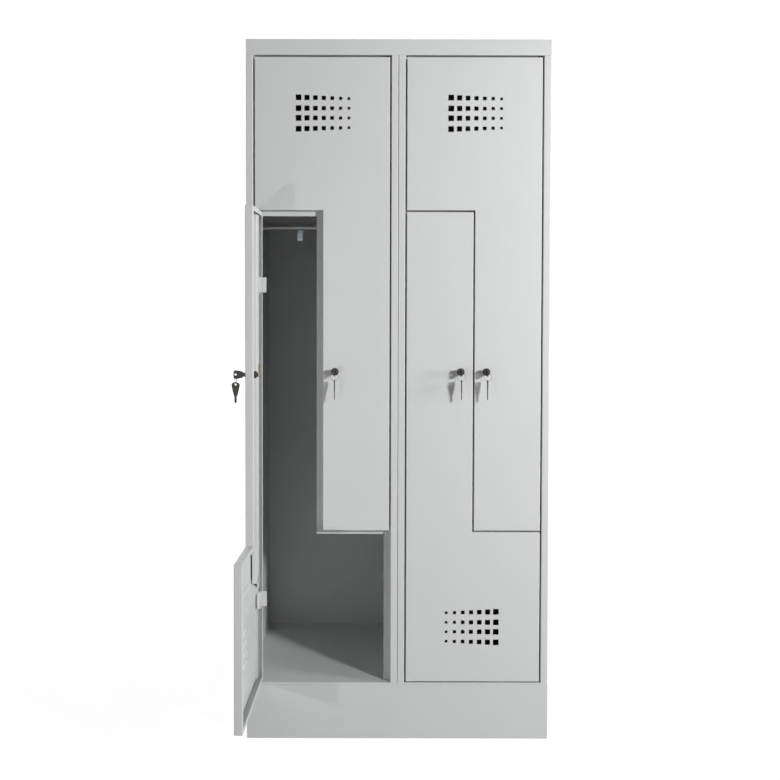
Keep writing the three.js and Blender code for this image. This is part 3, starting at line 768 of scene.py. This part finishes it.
class ZLOCKER_OT_top(bpy.types.Operator):
    """Folds the top panel with its header and the stop behind the door tops"""
    bl_idname = "zlocker.top"
    bl_label = "Top"

    def execute(self, context):
        sheet = sizes("sheet")
        half = sheet.thickness / 2
        low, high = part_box("top_panel")
        foot, stop = high.z - sheet.header, low.y + sheet.setback + half
        bm = folded([
            (high.y, high.z - half), (low.y + half, high.z - half), (low.y + half, foot + half),
            (stop, foot + half), (stop, low.z),
        ], "X", low.x, high.x)
        # The stop ends beside the walls' own stops, and the header's fold beside the walls
        reach = sheet.stile + sheet.side_stop + sheet.seat
        for x0, x1 in ((low.x - OVERRUN, low.x + reach), (-reach, reach), (high.x - reach, high.x + OVERRUN)):
            cut_out(bm, (x0, stop - OVERRUN, low.z - OVERRUN), (x1, stop + OVERRUN, foot))
        room = sheet.thickness + sheet.seat
        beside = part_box("right_centre_wall")[0].x + room
        fold_top = foot + sheet.thickness + OVERRUN
        for x0, x1 in ((low.x - OVERRUN, low.x + room), (-beside, beside), (high.x - room, high.x + OVERRUN)):
            cut_out(bm, (x0, low.y + room, foot - OVERRUN), (x1, stop + OVERRUN, fold_top))
        add_piece("top_panel_sheet", solid(bm, sheet.thickness), "top_panel")
        return {"FINISHED"}


class ZLOCKER_OT_floor(bpy.types.Operator):
    """Folds the floor pan"""
    bl_idname = "zlocker.floor"
    bl_label = "Floor"

    def execute(self, context):
        sheet = sizes("sheet")
        half = sheet.thickness / 2
        low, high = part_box("floor_panel")
        bm = bmesh.new()
        rim = rectangle(low.x + half, high.x - half, low.y + half, high.y - half)
        pan = bm.faces.new([bm.verts.new((x, y, high.z - half)) for x, y in rim])
        lips = bmesh.ops.extrude_edge_only(bm, edges=pan.edges[:])["geom"]
        bmesh.ops.translate(bm, verts=new_verts(lips), vec=(0, 0, low.z + half - high.z))
        add_piece("floor_panel_sheet", solid(fold_edges(bm, sheet.fold + half), sheet.thickness),
                  "floor_panel")
        return {"FINISHED"}


class ZLOCKER_OT_plinth(bpy.types.Operator):
    """Folds the plinth: its front, its surround and its centre rail"""
    bl_idname = "zlocker.plinth"
    bl_label = "Plinth"

    def execute(self, context):
        thick = sizes("sheet").plinth
        self.front(thick)
        self.surround(thick)
        self.centre_rail(thick)
        return {"FINISHED"}

    def front(self, thick):
        """The front board, its folds cut short at both ends, where the surround stands."""
        half = thick / 2
        low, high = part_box("plinth_front")
        bm = folded([
            (high.y, low.z + half), (low.y + half, low.z + half),
            (low.y + half, high.z - half), (high.y, high.z - half),
        ], "X", low.x, high.x, thick)
        room = thick + sizes("sheet").seat
        for x0, x1 in ((low.x - OVERRUN, low.x + room), (high.x - room, high.x + OVERRUN)):
            cut_out(bm, (x0, low.y + room, low.z - OVERRUN), (x1, high.y + OVERRUN, high.z + OVERRUN))
        add_piece("plinth_front_sheet", solid(bm, thick), "plinth_front")

    def surround(self, thick):
        half = thick / 2
        low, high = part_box("plinth_surround")
        bm = folded([
            (low.x + half, low.y), (low.x + half, high.y - half),
            (high.x - half, high.y - half), (high.x - half, low.y),
        ], "Z", low.z, high.z, thick)
        add_piece("plinth_surround_sheet", solid(bm, thick), "plinth_surround")

    def centre_rail(self, thick):
        half = thick / 2
        low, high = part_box("plinth_centre_rail")
        bm = folded([
            (low.x + half, high.z), (low.x + half, low.z + half),
            (high.x - half, low.z + half), (high.x - half, high.z),
        ], "Y", low.y, high.y, thick)
        add_piece("plinth_rail_channel", solid(bm, thick), "plinth_centre_rail")


class ZLOCKER_OT_division(bpy.types.Operator):
    """Makes the Z-shaped division of each column: two shelves and the divider between them"""
    bl_idname = "zlocker.division"
    bl_label = "Shelves and dividers"

    def execute(self, context):
        for side in SIDES:
            self.divider(f"{side}_divider")
            self.shelf(side, "upper")
            self.shelf(side, "lower")
        return {"FINISHED"}

    def divider(self, node):
        """The upright web with its stop lip across the front edge."""
        sheet = sizes("sheet")
        low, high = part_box(node)
        middle, lip_y = (low.x + high.x) / 2, low.y + sheet.thickness / 2
        lip = strip([(low.x, lip_y), (high.x, lip_y)], "Z", low.z, high.z)
        web = strip([(middle, low.y + sheet.thickness), (middle, high.y)], "Z", low.z, high.z)
        add_piece(f"{node}_sheet", solid(joined((lip, web)), sheet.thickness), node)

    def shelf(self, side, level):
        """A shelf from the divider to a wall, its stop lip cut back at both ends to what stands there."""
        sheet = sizes("sheet")
        node, half = f"{side}_{level}_shelf", sheet.thickness / 2
        low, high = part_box(node)
        wall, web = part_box(SHELF_WALLS[side, level]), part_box(f"{side}_divider")
        at_left, at_right = (wall, web) if level == "upper" else (web, wall)
        start, end = at_left[1].x + sheet.seat, at_right[0].x - sheet.seat
        bm = folded([(low.y + half, low.z), (low.y + half, high.z - half), (high.y, high.z - half)],
                    "X", low.x, high.x)
        behind = low.y + sheet.thickness + sheet.seat
        for x0, x1 in ((low.x - OVERRUN, start), (end, high.x + OVERRUN)):
            cut_out(bm, (x0, low.y - OVERRUN, low.z - OVERRUN), (x1, behind, high.z + OVERRUN))
        add_piece(f"{node}_sheet", solid(bm, sheet.thickness), node)


class ZLOCKER_OT_rails(bpy.types.Operator):
    """Makes the hanging rails and the coat hooks that slide on them"""
    bl_idname = "zlocker.rails"
    bl_label = "Rails and hooks"

    def execute(self, context):
        wall = sizes("rail").wall
        for side, level in COMPARTMENTS:
            node = f"{side}_{level}_rail"
            low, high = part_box(node)
            middle, radius = (low + high) / 2, (high.z - low.z) / 2
            tube = rectangle(low.x, high.x, radius - wall, radius)
            add_piece(f"{node}_tube", solid(turned(tube, "X", (0, middle.y, middle.z))), node)
            self.hook(f"{side}_{level}_coat_hook", middle, radius)
        return {"FINISHED"}

    def hook(self, node, middle, radius):
        """A strap wrapped over the rail, its stem behind the rail and its prong turned up in front."""
        rail, sheet = sizes("rail"), sizes("sheet")
        low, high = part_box(node)
        around = radius + sheet.seat + rail.strap / 2
        shares = [step / HOOK_STEPS for step in range(HOOK_STEPS + 1)]
        over = [(math.pi + WRAP_PAST) * share - WRAP_PAST for share in shares]
        path = [(-around * math.cos(turn), around * math.sin(turn)) for turn in over]
        path += [(around - rail.bend + rail.bend * math.cos(-math.pi * share),
                  rail.bend * math.sin(-math.pi * share) - rail.stem) for share in shares]
        path.append((around - 2 * rail.bend, rail.prong - rail.stem))
        bm = strip([(middle.y + y, middle.z + z) for y, z in path], "X", low.x, high.x)
        centre = (low.x + high.x) / 2
        slot = centre + rail.slot_shift
        front, rear = middle.y - 2 * around, middle.y + 2 * around
        wrap_foot, top = middle.z - radius - sheet.seat, middle.z + 2 * radius
        for x0, x1, y1 in ((low.x - OVERRUN, centre - rail.wrap / 2, rear),
                           (centre + rail.wrap / 2, high.x + OVERRUN, rear),
                           (slot - rail.slot / 2, slot + rail.slot / 2, middle.y)):
            cut_out(bm, (x0, front, wrap_foot), (x1, y1, top))
        add_piece(f"{node}_strap", solid(bm, rail.strap, softness=STRAP_SOFTNESS), node)


def door_outline(inset):
    """The door's outline: x from the hinge edge and z from the wide end, drawn in by an inset."""
    door = sizes("door")
    return [
        (inset, inset), (door.width - inset, inset), (door.width - inset, door.wide_height - inset),
        (door.narrow - inset, door.wide_height - inset), (door.narrow - inset, door.height - inset),
        (inset, door.height - inset),
    ]


def hinge_levels():
    """Heights of a door's two hinges over its wide end."""
    hinge = sizes("hinge")
    return hinge.low, sizes("door").height - hinge.high_inset


def lock_level():
    """Height of the lock over the wide end."""
    return (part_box("right_upper_door")[1].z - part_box("right_lower_door")[0].z) / 2


def vent_holes():
    """Rows of square holes, whose sides and outer rows grow from the first column to the last."""
    door, vents, sheet = sizes("door"), sizes("vents"), sizes("sheet")
    holes = []
    for column in range(vents.columns):
        share = column / (vents.columns - 1)
        half = (vents.smallest + (vents.largest - vents.smallest) * share) / 2
        outer = vents.outer_small + (vents.outer_large - vents.outer_small) * share
        x = door.width / 2 - vents.shift + (column - (vents.columns - 1) / 2) * vents.pitch
        for reach in (-outer, -vents.inner_row, vents.inner_row, outer):
            z = vents.level + reach
            outline = rectangle(x - half, x + half, z - half, z + half)
            holes.append(plate(outline, "Y", -OVERRUN, sheet.thickness + OVERRUN, vents.corner))
    return holes


def corner_cuts():
    """The slits and the relief holes where two returns meet, at each outer corner."""
    door, sheet = sizes("door"), sizes("sheet")
    slits, reliefs = [], []
    for index, ((outer_x, outer_z), (x, z)) in enumerate(zip(door_outline(0), door_outline(door.reach))):
        if index == NOTCH_CORNER:
            continue
        away = Vector((outer_x - x, outer_z - z)).normalized()
        across = Vector((-away.y, away.x)) * door.slit / 2
        start = Vector((x, z)) - away * OVERRUN
        end = Vector((outer_x, outer_z)) - away * 2 * sheet.thickness
        outline = [start - across, end - across, end + across, start + across]
        behind = door.depth - sheet.thickness * 2
        slits.append(plate(outline, "Y", behind, door.depth + OVERRUN))
        hole = Vector((outer_x, outer_z)) - away * (2 * sheet.thickness + door.relief)
        reliefs.append(rod(door.relief, "Y", behind, door.depth + OVERRUN, (hole.x, 0, hole.y)))
    return joined(slits), joined(reliefs)


def door_pan():
    """A door's skin, flanges and returns, folded from one open sheet."""
    door, sheet = sizes("door"), sizes("sheet")
    half = sheet.thickness / 2
    bm = bmesh.new()
    skin = bm.faces.new([bm.verts.new((x, half, z)) for x, z in door_outline(half)])
    grown = bmesh.ops.extrude_edge_only(bm, edges=skin.edges[:])["geom"]
    rim = [edge for edge in grown if isinstance(edge, bmesh.types.BMEdge) and edge.is_boundary]
    bmesh.ops.translate(bm, verts=new_verts(grown), vec=(0, door.depth - sheet.thickness, 0))
    back = bmesh.ops.contextual_create(bm, geom=rim)["faces"][0]
    bmesh.ops.inset_region(bm, faces=[back], thickness=door.reach - half, use_even_offset=True)
    bmesh.ops.delete(bm, geom=[back], context="FACES")
    return fold_edges(bm, sheet.fold + half)


def hinge_windows():
    hinge, depth = sizes("hinge"), sizes("door").depth
    half = hinge.window / 2
    return [block((-OVERRUN, hinge.window_front, level - half),
                  (hinge.window_width, depth + OVERRUN, level + half)) for level in hinge_levels()]


def hinge_eyes():
    """The eyes over and under each window, bored for the pins."""
    hinge, half = sizes("hinge"), sizes("sheet").thickness / 2
    eyes = []
    for level in hinge_levels():
        for foot in (level - hinge.window / 2 - hinge.eye, level + hinge.window / 2):
            outline = rectangle(half, hinge.inset + hinge.eye_margin, half, hinge.behind + hinge.eye_margin)
            eyes.append(plate(outline, "Z", foot, foot + hinge.eye, hinge.eye_margin / 2))
    bores = [rod(hinge.pin + PIN_ROOM, "Z", level - hinge.window, level + hinge.window,
                 (hinge.inset, hinge.behind, 0)) for level in hinge_levels()]
    return solid(joined(eyes), holes=[joined(bores)])


def door_shell():
    """A door in its own frame: x from the hinge edge, y from the front, z from the wide end."""
    door, sheet, lock = sizes("door"), sizes("sheet"), sizes("lock")
    lock_at = (door.narrow - lock.inset, 0, lock_level())
    lock_hole = rod(lock.hole, "Y", -OVERRUN, sheet.thickness + OVERRUN, lock_at)
    holes = joined([*vent_holes(), lock_hole, *hinge_windows()])
    shell = solid(door_pan(), sheet.thickness, (holes, *corner_cuts()), softness=0)
    return with_mesh(shell, hinge_eyes())


def door_stiffener():
    """The stiffener in the door's frame: an upright fold, a sloping bar and the lap between them."""
    door, sheet, bar = sizes("door"), sizes("sheet"), sizes("stiffener")
    half = sheet.thickness / 2
    skin = sheet.thickness + sheet.seat + half
    inner = door.depth - sheet.thickness - sheet.seat - half
    upright = folded([
        (bar.near - bar.foot, skin), (bar.near + half, skin), (bar.near + half, inner),
        (bar.far - half, inner), (bar.far - half, sheet.thickness + bar.slot),
    ], "Z", bar.bar, door.height - bar.top_margin)
    foot = bar.bar - bar.slope
    across = folded([
        (skin, bar.bar + bar.flange), (skin, bar.bar), (inner, foot), (inner, foot - bar.flange),
    ], "X", bar.near, door.width - sheet.thickness - sheet.seat)
    lap = plate(rectangle(bar.near, bar.far, foot - bar.flange, bar.bar + bar.flange), "Y",
                inner - half, inner + half, LAP_CORNER)
    return with_mesh(solid(joined((upright, across)), sheet.thickness), solid(lap))


class ZLOCKER_OT_doors(bpy.types.Operator):
    """Folds and pierces the four doors and puts a stiffener in each"""
    bl_idname = "zlocker.doors"
    bl_label = "Doors"

    def execute(self, context):
        shell, stiffener = door_shell(), door_stiffener()
        for side, level in COMPARTMENTS:
            name, places = f"{side}_{level}", compartment(side, level)
            add_piece(f"{name}_door_shell", shell, f"{name}_door", place=places["door"])
            add_piece(f"{name}_stiffener_fold", stiffener, f"{name}_door_stiffener", place=places["door"])
        return {"FINISHED"}


class ZLOCKER_OT_hinges(bpy.types.Operator):
    """Makes the hinge leaves on the frame, with their knuckles and pins"""
    bl_idname = "zlocker.hinges"
    bl_label = "Hinges"

    def execute(self, context):
        leaf = self.leaf()
        for side, level in COMPARTMENTS:
            place = compartment(side, level)["frame"]
            for word, height in zip(("low", "high"), hinge_levels()):
                node = f"{side}_{level}_hinge_leaf_{word}"
                add_piece(f"{node}_fold", leaf, node, place=place @ Matrix.Translation((0, 0, height)))
        return {"FINISHED"}

    def leaf(self):
        """A leaf about its own middle: the folded plate with weld dimples, the knuckle and the pin."""
        hinge, sheet = sizes("hinge"), sizes("sheet")
        half = hinge.tall / 2
        plate_y = sheet.setback - sheet.seat - hinge.leaf / 2
        fold = strip([(hinge.inset, hinge.behind + hinge.knuckle / 2), (hinge.inset, plate_y),
                      (hinge.plate_reach, plate_y)], "Z", -half, half)
        fold_edges(fold, sheet.fold + hinge.leaf / 2)
        dimple_end = plate_y - hinge.leaf / 2 + hinge.dimple_depth
        dimples = [rod(hinge.dimple, "Y", plate_y - hinge.leaf, dimple_end,
                       (hinge.plate_reach * DIMPLE_REACH_SHARE, 0, share * half), hinge.dimple_depth)
                   for share in DIMPLE_LEVEL_SHARES]
        at = (hinge.inset, hinge.behind, 0)
        pin_half = hinge.window / 2 + hinge.eye + sheet.thickness
        knuckle = rod(hinge.knuckle, "Z", -half, half, at, KNUCKLE_DOME)
        pin = rod(hinge.pin, "Z", -pin_half, pin_half, at, PIN_DOME)
        return with_mesh(solid(fold, hinge.leaf, [joined(dimples)]), solid(joined((knuckle, pin))))


class ZLOCKER_OT_locks(bpy.types.Operator):
    """Makes the cam locks: head, threaded barrel, nut, plug, cam and screw"""
    bl_idname = "zlocker.locks"
    bl_label = "Locks"

    def execute(self, context):
        lock, sheet = sizes("lock"), sizes("sheet")
        head, nut = self.head(lock, sheet), self.nut(lock, sheet)
        plug, cam, screw = self.plug(lock), self.cam(lock), self.screw(lock)
        for side, level in COMPARTMENTS:
            name, place = f"{side}_{level}", compartment(side, level)["lock"]
            body, core = f"{name}_lock_body", f"{name}_lock_plug"
            add_piece(f"{name}_lock_head", head, body, place=place)
            add_piece(f"{name}_lock_nut", nut, body, stands=False, slot="lock_brass", place=place)
            add_piece(f"{name}_plug_core", plug, core, slot="lock_chrome", place=place)
            add_piece(f"{name}_lock_cam", cam, core, stands=False, place=place)
            add_piece(f"{name}_cam_screw", screw, core, stands=False, place=place)
        return {"FINISHED"}

    def head(self, lock, sheet):
        """The head in front of the door and the threaded barrel behind it, turned as one."""
        lip = HEAD_LIP
        profile = [
            (-lock.proud, lock.bore), (-lock.proud, lock.face - lip), (lip - lock.proud, lock.face),
            (-3 * lip, lock.head - lip / 2), (-sheet.seat - lip, lock.head),
            (-sheet.seat, lock.head - lip / 2), (-sheet.seat, lock.barrel),
        ]
        along = sheet.thickness + sheet.seat
        while along + lock.thread_pitch < lock.barrel_depth:
            profile += [(along, lock.barrel), (along + lock.thread_pitch / 2, lock.barrel - lock.thread)]
            along += lock.thread_pitch
        profile += [(lock.barrel_depth, lock.barrel - lock.thread), (lock.barrel_depth, lock.bore)]
        return solid(turned(profile, "Y"), softness=0)

    def nut(self, lock, sheet):
        turns = [math.tau * (corner + 0.5) / NUT_SIDES for corner in range(NUT_SIDES)]
        corners = [(lock.nut * math.cos(turn), lock.nut * math.sin(turn)) for turn in turns]
        front = sheet.thickness + sheet.seat
        blank = plate(corners, "Y", front, front + lock.nut_thickness)
        bore = rod(lock.barrel, "Y", -OVERRUN, lock.barrel_depth)
        return solid(blank, holes=[bore], softness=NUT_SOFTNESS)

    def plug(self, lock):
        face = lock.recess - lock.proud
        wide, tall = lock.keyway / 2, lock.keyway_height / 2
        way = block((-wide, face - OVERRUN, -tall), (wide, face + KEYWAY_DEPTH, tall))
        return solid(rod(lock.plug, "Y", face, lock.cam_setback), holes=[way], softness=PLUG_SOFTNESS)

    def cam(self, lock):
        half = lock.cam_width / 2
        bar = plate(rectangle(-half, half, -half, lock.cam_reach), "Y", lock.cam_setback,
                    lock.cam_setback + lock.cam, half * CAM_ROUND_SHARE, CAM_STEPS)
        return solid(bar, softness=CAM_SOFTNESS)

    def screw(self, lock):
        start = lock.cam_setback + lock.cam / 2
        end = lock.cam_setback + lock.cam + lock.screw_head
        slot = block((-lock.screw * 2, end - lock.screw_head / 2, -SLOT_HALF),
                     (lock.screw * 2, end + OVERRUN, SLOT_HALF))
        head = rod(lock.screw, "Y", start, end, dome=SCREW_DOME)
        return solid(head, holes=[slot], softness=SCREW_SOFTNESS)


def key_bow(key, shares, neck, end, hole_at):
    """A key's neck and bow in the plane across X, along Y from the neck's places to the end."""
    start = neck[-1]
    side = [(along, key.neck / 2) for along in neck]
    side += [(start + along * (end - start), out * key.bow / 2) for along, out in shares]
    outline = side + [(along, -out) for along, out in reversed(side)]
    bm = plate(outline, "X", -key.thickness / 2, key.thickness / 2, BOW_CORNER, BOW_STEPS)
    faces = [face for face in bm.faces if abs(face.normal.x) > FACING]
    bmesh.ops.inset_individual(bm, faces=faces, thickness=key.rim, use_even_offset=True)
    bmesh.ops.inset_individual(bm, faces=faces, thickness=key.sunk, depth=-key.sunk, use_even_offset=True)
    hole = rod(key.hole, "X", -OVERRUN, OVERRUN, (0, hole_at, 0))
    return solid(bm, holes=[hole], softness=BOW_SOFTNESS)


def key_blade(key, width, start, end, cuts):
    """A key's blade along Y, with cuts in its upper edge and a groove in each side."""
    half = width / 2
    pitch = (end - start) / (cuts + 1)
    outline = [(start, half)]
    for cut in range(cuts):
        at = start + pitch * (cut + 1)
        outline += [(at - pitch / 3, half), (at, half - key.cut), (at + pitch / 3, half)]
    tip = end - half / 2 * math.copysign(1, end - start)
    outline += [(end, half / 2), (end, -half / 2), (tip, -half), (start, -half)]
    bm = plate(outline, "X", -key.thickness / 2, key.thickness / 2)
    first, last = min(start, end) - OVERRUN, max(start, end) + OVERRUN
    groove = key.groove / 2
    grooves = [block((face - GROOVE_DEPTH, first, -groove), (face + GROOVE_DEPTH, last, groove))
               for face in (-key.thickness / 2, key.thickness / 2)]
    return solid(bm, holes=[joined(grooves)], softness=BLADE_SOFTNESS)


class ZLOCKER_OT_keys(bpy.types.Operator):
    """Makes a key in each lock, its split ring and the spare key on it"""
    bl_idname = "zlocker.keys"
    bl_label = "Keys"

    def execute(self, context):
        key, lock, sheet = sizes("key"), sizes("lock"), sizes("sheet")
        root = -(lock.proud + sheet.seat)
        bow_root = root - key.neck_length
        end = bow_root - key.bow_length
        ring_y = end + key.hole_inset
        in_lock = with_mesh(key_bow(key, BOW_SHARES, (root, bow_root), end, ring_y),
                            key_blade(key, key.blade, root, root + BLADE_LENGTH, BLADE_CUTS))
        spare = with_mesh(key_bow(key, SPARE_BOW_SHARES, (key.spare_bow,), 0, key.hole_inset),
                          key_blade(key, key.spare_blade, key.spare_bow, key.spare, SPARE_BLADE_CUTS))
        drop = key.hole - key.wire - sheet.seat
        ring = self.ring(key, Vector((0, ring_y, -drop - key.ring)))
        hang = 2 * (drop + key.ring) - key.hole_inset
        down = Matrix.Translation((0, ring_y, -hang)) @ Matrix.Rotation(math.radians(-90), 4, "X")
        for side, level in COMPARTMENTS:
            name, place = f"{side}_{level}", compartment(side, level)["lock"]
            add_piece(f"{name}_key_in_lock", in_lock, f"{name}_key", place=place)
            add_piece(f"{name}_split_ring", ring, f"{name}_key_ring", place=place)
            add_piece(f"{name}_second_key", spare, f"{name}_spare_key", place=place @ down)
        return {"FINISHED"}

    def ring(self, key, middle):
        """Two turns of round wire, closed side by side."""
        bm = bmesh.new()
        start = middle + Vector((0, -key.wire, key.ring))
        bmesh.ops.create_circle(bm, cap_ends=True, segments=WIRE_SIDES, radius=key.wire / 2,
                                matrix=Matrix.Translation(start) @ Matrix.Rotation(math.pi / 2, 4, "Y"))
        bmesh.ops.spin(bm, geom=bm.verts[:] + bm.edges[:] + bm.faces[:], cent=middle, axis=Y,
                       dvec=Y * (2 * key.wire / RING_STEPS), angle=2 * math.tau, steps=RING_STEPS)
        bmesh.ops.recalc_face_normals(bm, faces=bm.faces[:])
        return solid(bm, softness=0)


class ZLOCKER_OT_stage(bpy.types.Operator):
    """Makes the floor, the lights, the white surround and the camera"""
    bl_idname = "zlocker.stage"
    bl_label = "Set the stage"

    def execute(self, context):
        stage = sizes("stage")
        make_floor()
        make_world(stage.room_strength)
        for name, (place, target, side) in LIGHTS.items():
            area_light(name, place, target, side, getattr(stage, f"{name}_power"))
        make_camera(stage)
        context.scene.view_settings.view_transform = "Standard"
        return {"FINISHED"}


def seen_rays(shader):
    """One for the rays that show the room to the camera, directly, in gloss or through glass."""
    camera, glossy, clear = (shader.node("ShaderNodeLightPath", output=name) for name in (
        "Is Camera Ray", "Is Glossy Ray", "Is Transmission Ray"))
    return camera.maths("MAXIMUM", camera, camera.maths("MAXIMUM", glossy, clear))


def make_floor():
    """A floor that keeps the locker's shadow and shows white farther away."""
    material, shader = new_shader("pale_floor")
    pale = shader.node("ShaderNodeBsdfDiffuse", {}, {"Color": FLOOR_GREY})
    white = shader.node("ShaderNodeEmission", {}, {"Color": WHITE, "Strength": FLOOR_WHITE})
    away = shader.node("ShaderNodeVectorMath", {"operation": "LENGTH"}, {0: shader.coordinates()}, "Value")
    share = shader.node("ShaderNodeMapRange", {}, {
        0: away, "From Min": WHITE_FROM, "From Max": WHITE_PAST, "To Min": WHITE_SHARE, "To Max": 1.0})
    shader.show(shader.node("ShaderNodeMixShader", {}, {0: seen_rays(shader) * share, 1: pale, 2: white}))
    bm = bmesh.new()
    bmesh.ops.create_grid(bm, x_segments=1, y_segments=1, size=FLOOR_HALF)
    floor = shape_of(bm, "floor")
    floor.data.materials.append(material)


def make_world(strength):
    """A room that shows white and gives the locker an even light of its own strength."""
    world = bpy.data.worlds.new("white_room")
    bpy.context.scene.world = world
    shader = Shader(world, "ShaderNodeOutputWorld")
    room = shader.node("ShaderNodeBackground", {}, {"Color": WHITE, "Strength": strength})
    white = shader.node("ShaderNodeBackground", {}, {"Color": WHITE, "Strength": 1.0})
    shader.show(shader.node("ShaderNodeMixShader", {}, {0: seen_rays(shader), 1: room, 2: white}))


def area_light(name, place, target, side, watts):
    data = bpy.data.lights.new(name, "AREA")
    data.shape = "SQUARE"
    data.size = side
    data.energy = watts
    light = bpy.data.objects.new(name, data)
    light.location = place
    light.rotation_euler = (Vector(target) - Vector(place)).to_track_quat("-Z", "Y").to_euler()
    bpy.context.scene.collection.objects.link(light)


def make_camera(stage):
    data = bpy.data.cameras.new("camera")
    data.sensor_width = SENSOR_WIDTH
    data.lens = stage.lens
    data.shift_x, data.shift_y = stage.shift
    data.clip_end = VIEW_END
    camera = bpy.data.objects.new("camera", data)
    camera.location = stage.camera_place
    camera.rotation_euler = (math.radians(90) - stage.camera_pitch, stage.camera_roll, 0)
    bpy.context.scene.collection.objects.link(camera)
    bpy.context.scene.camera = camera


class ZLOCKER_PT_panel(bpy.types.Panel):
    """Lists the locker's steps"""
    bl_idname = "ZLOCKER_PT_panel"
    bl_label = "Z locker"
    bl_space_type = "VIEW_3D"
    bl_region_type = "UI"
    bl_category = "Locker"

    def draw(self, context):
        for step in STEPS:
            self.layout.operator(step.bl_idname)


GROUPS = {
    "sheet": ZLockerSheet, "door": ZLockerDoor, "vents": ZLockerVents, "hinge": ZLockerHinge,
    "stiffener": ZLockerStiffener, "lock": ZLockerLock, "key": ZLockerKey, "rail": ZLockerRail,
    "paint": ZLockerPaint, "stage": ZLockerStage,
}
STEPS = (
    ZLOCKER_OT_paint, ZLOCKER_OT_walls, ZLOCKER_OT_top, ZLOCKER_OT_floor, ZLOCKER_OT_plinth,
    ZLOCKER_OT_division, ZLOCKER_OT_rails, ZLOCKER_OT_doors, ZLOCKER_OT_hinges, ZLOCKER_OT_locks,
    ZLOCKER_OT_keys, ZLOCKER_OT_stage,
)
CLASSES = (*GROUPS.values(), *STEPS, ZLOCKER_PT_panel)


def register():
    for each in CLASSES:
        bpy.utils.register_class(each)
    for name, group in GROUPS.items():
        setattr(bpy.types.Scene, GROUP_PREFIX + name, bpy.props.PointerProperty(type=group))


def unregister():
    for name in GROUPS:
        delattr(bpy.types.Scene, GROUP_PREFIX + name)
    for each in reversed(CLASSES):
        bpy.utils.unregister_class(each)


def main():
    register()
    bpy.ops.zlocker.paint()
    bpy.ops.zlocker.walls()
    bpy.ops.zlocker.top()
    bpy.ops.zlocker.floor()
    bpy.ops.zlocker.plinth()
    bpy.ops.zlocker.division()
    bpy.ops.zlocker.rails()
    bpy.ops.zlocker.doors()
    bpy.ops.zlocker.hinges()
    bpy.ops.zlocker.locks()
    bpy.ops.zlocker.keys()
    bpy.ops.zlocker.stage()


if __name__ == "__main__":
    main()
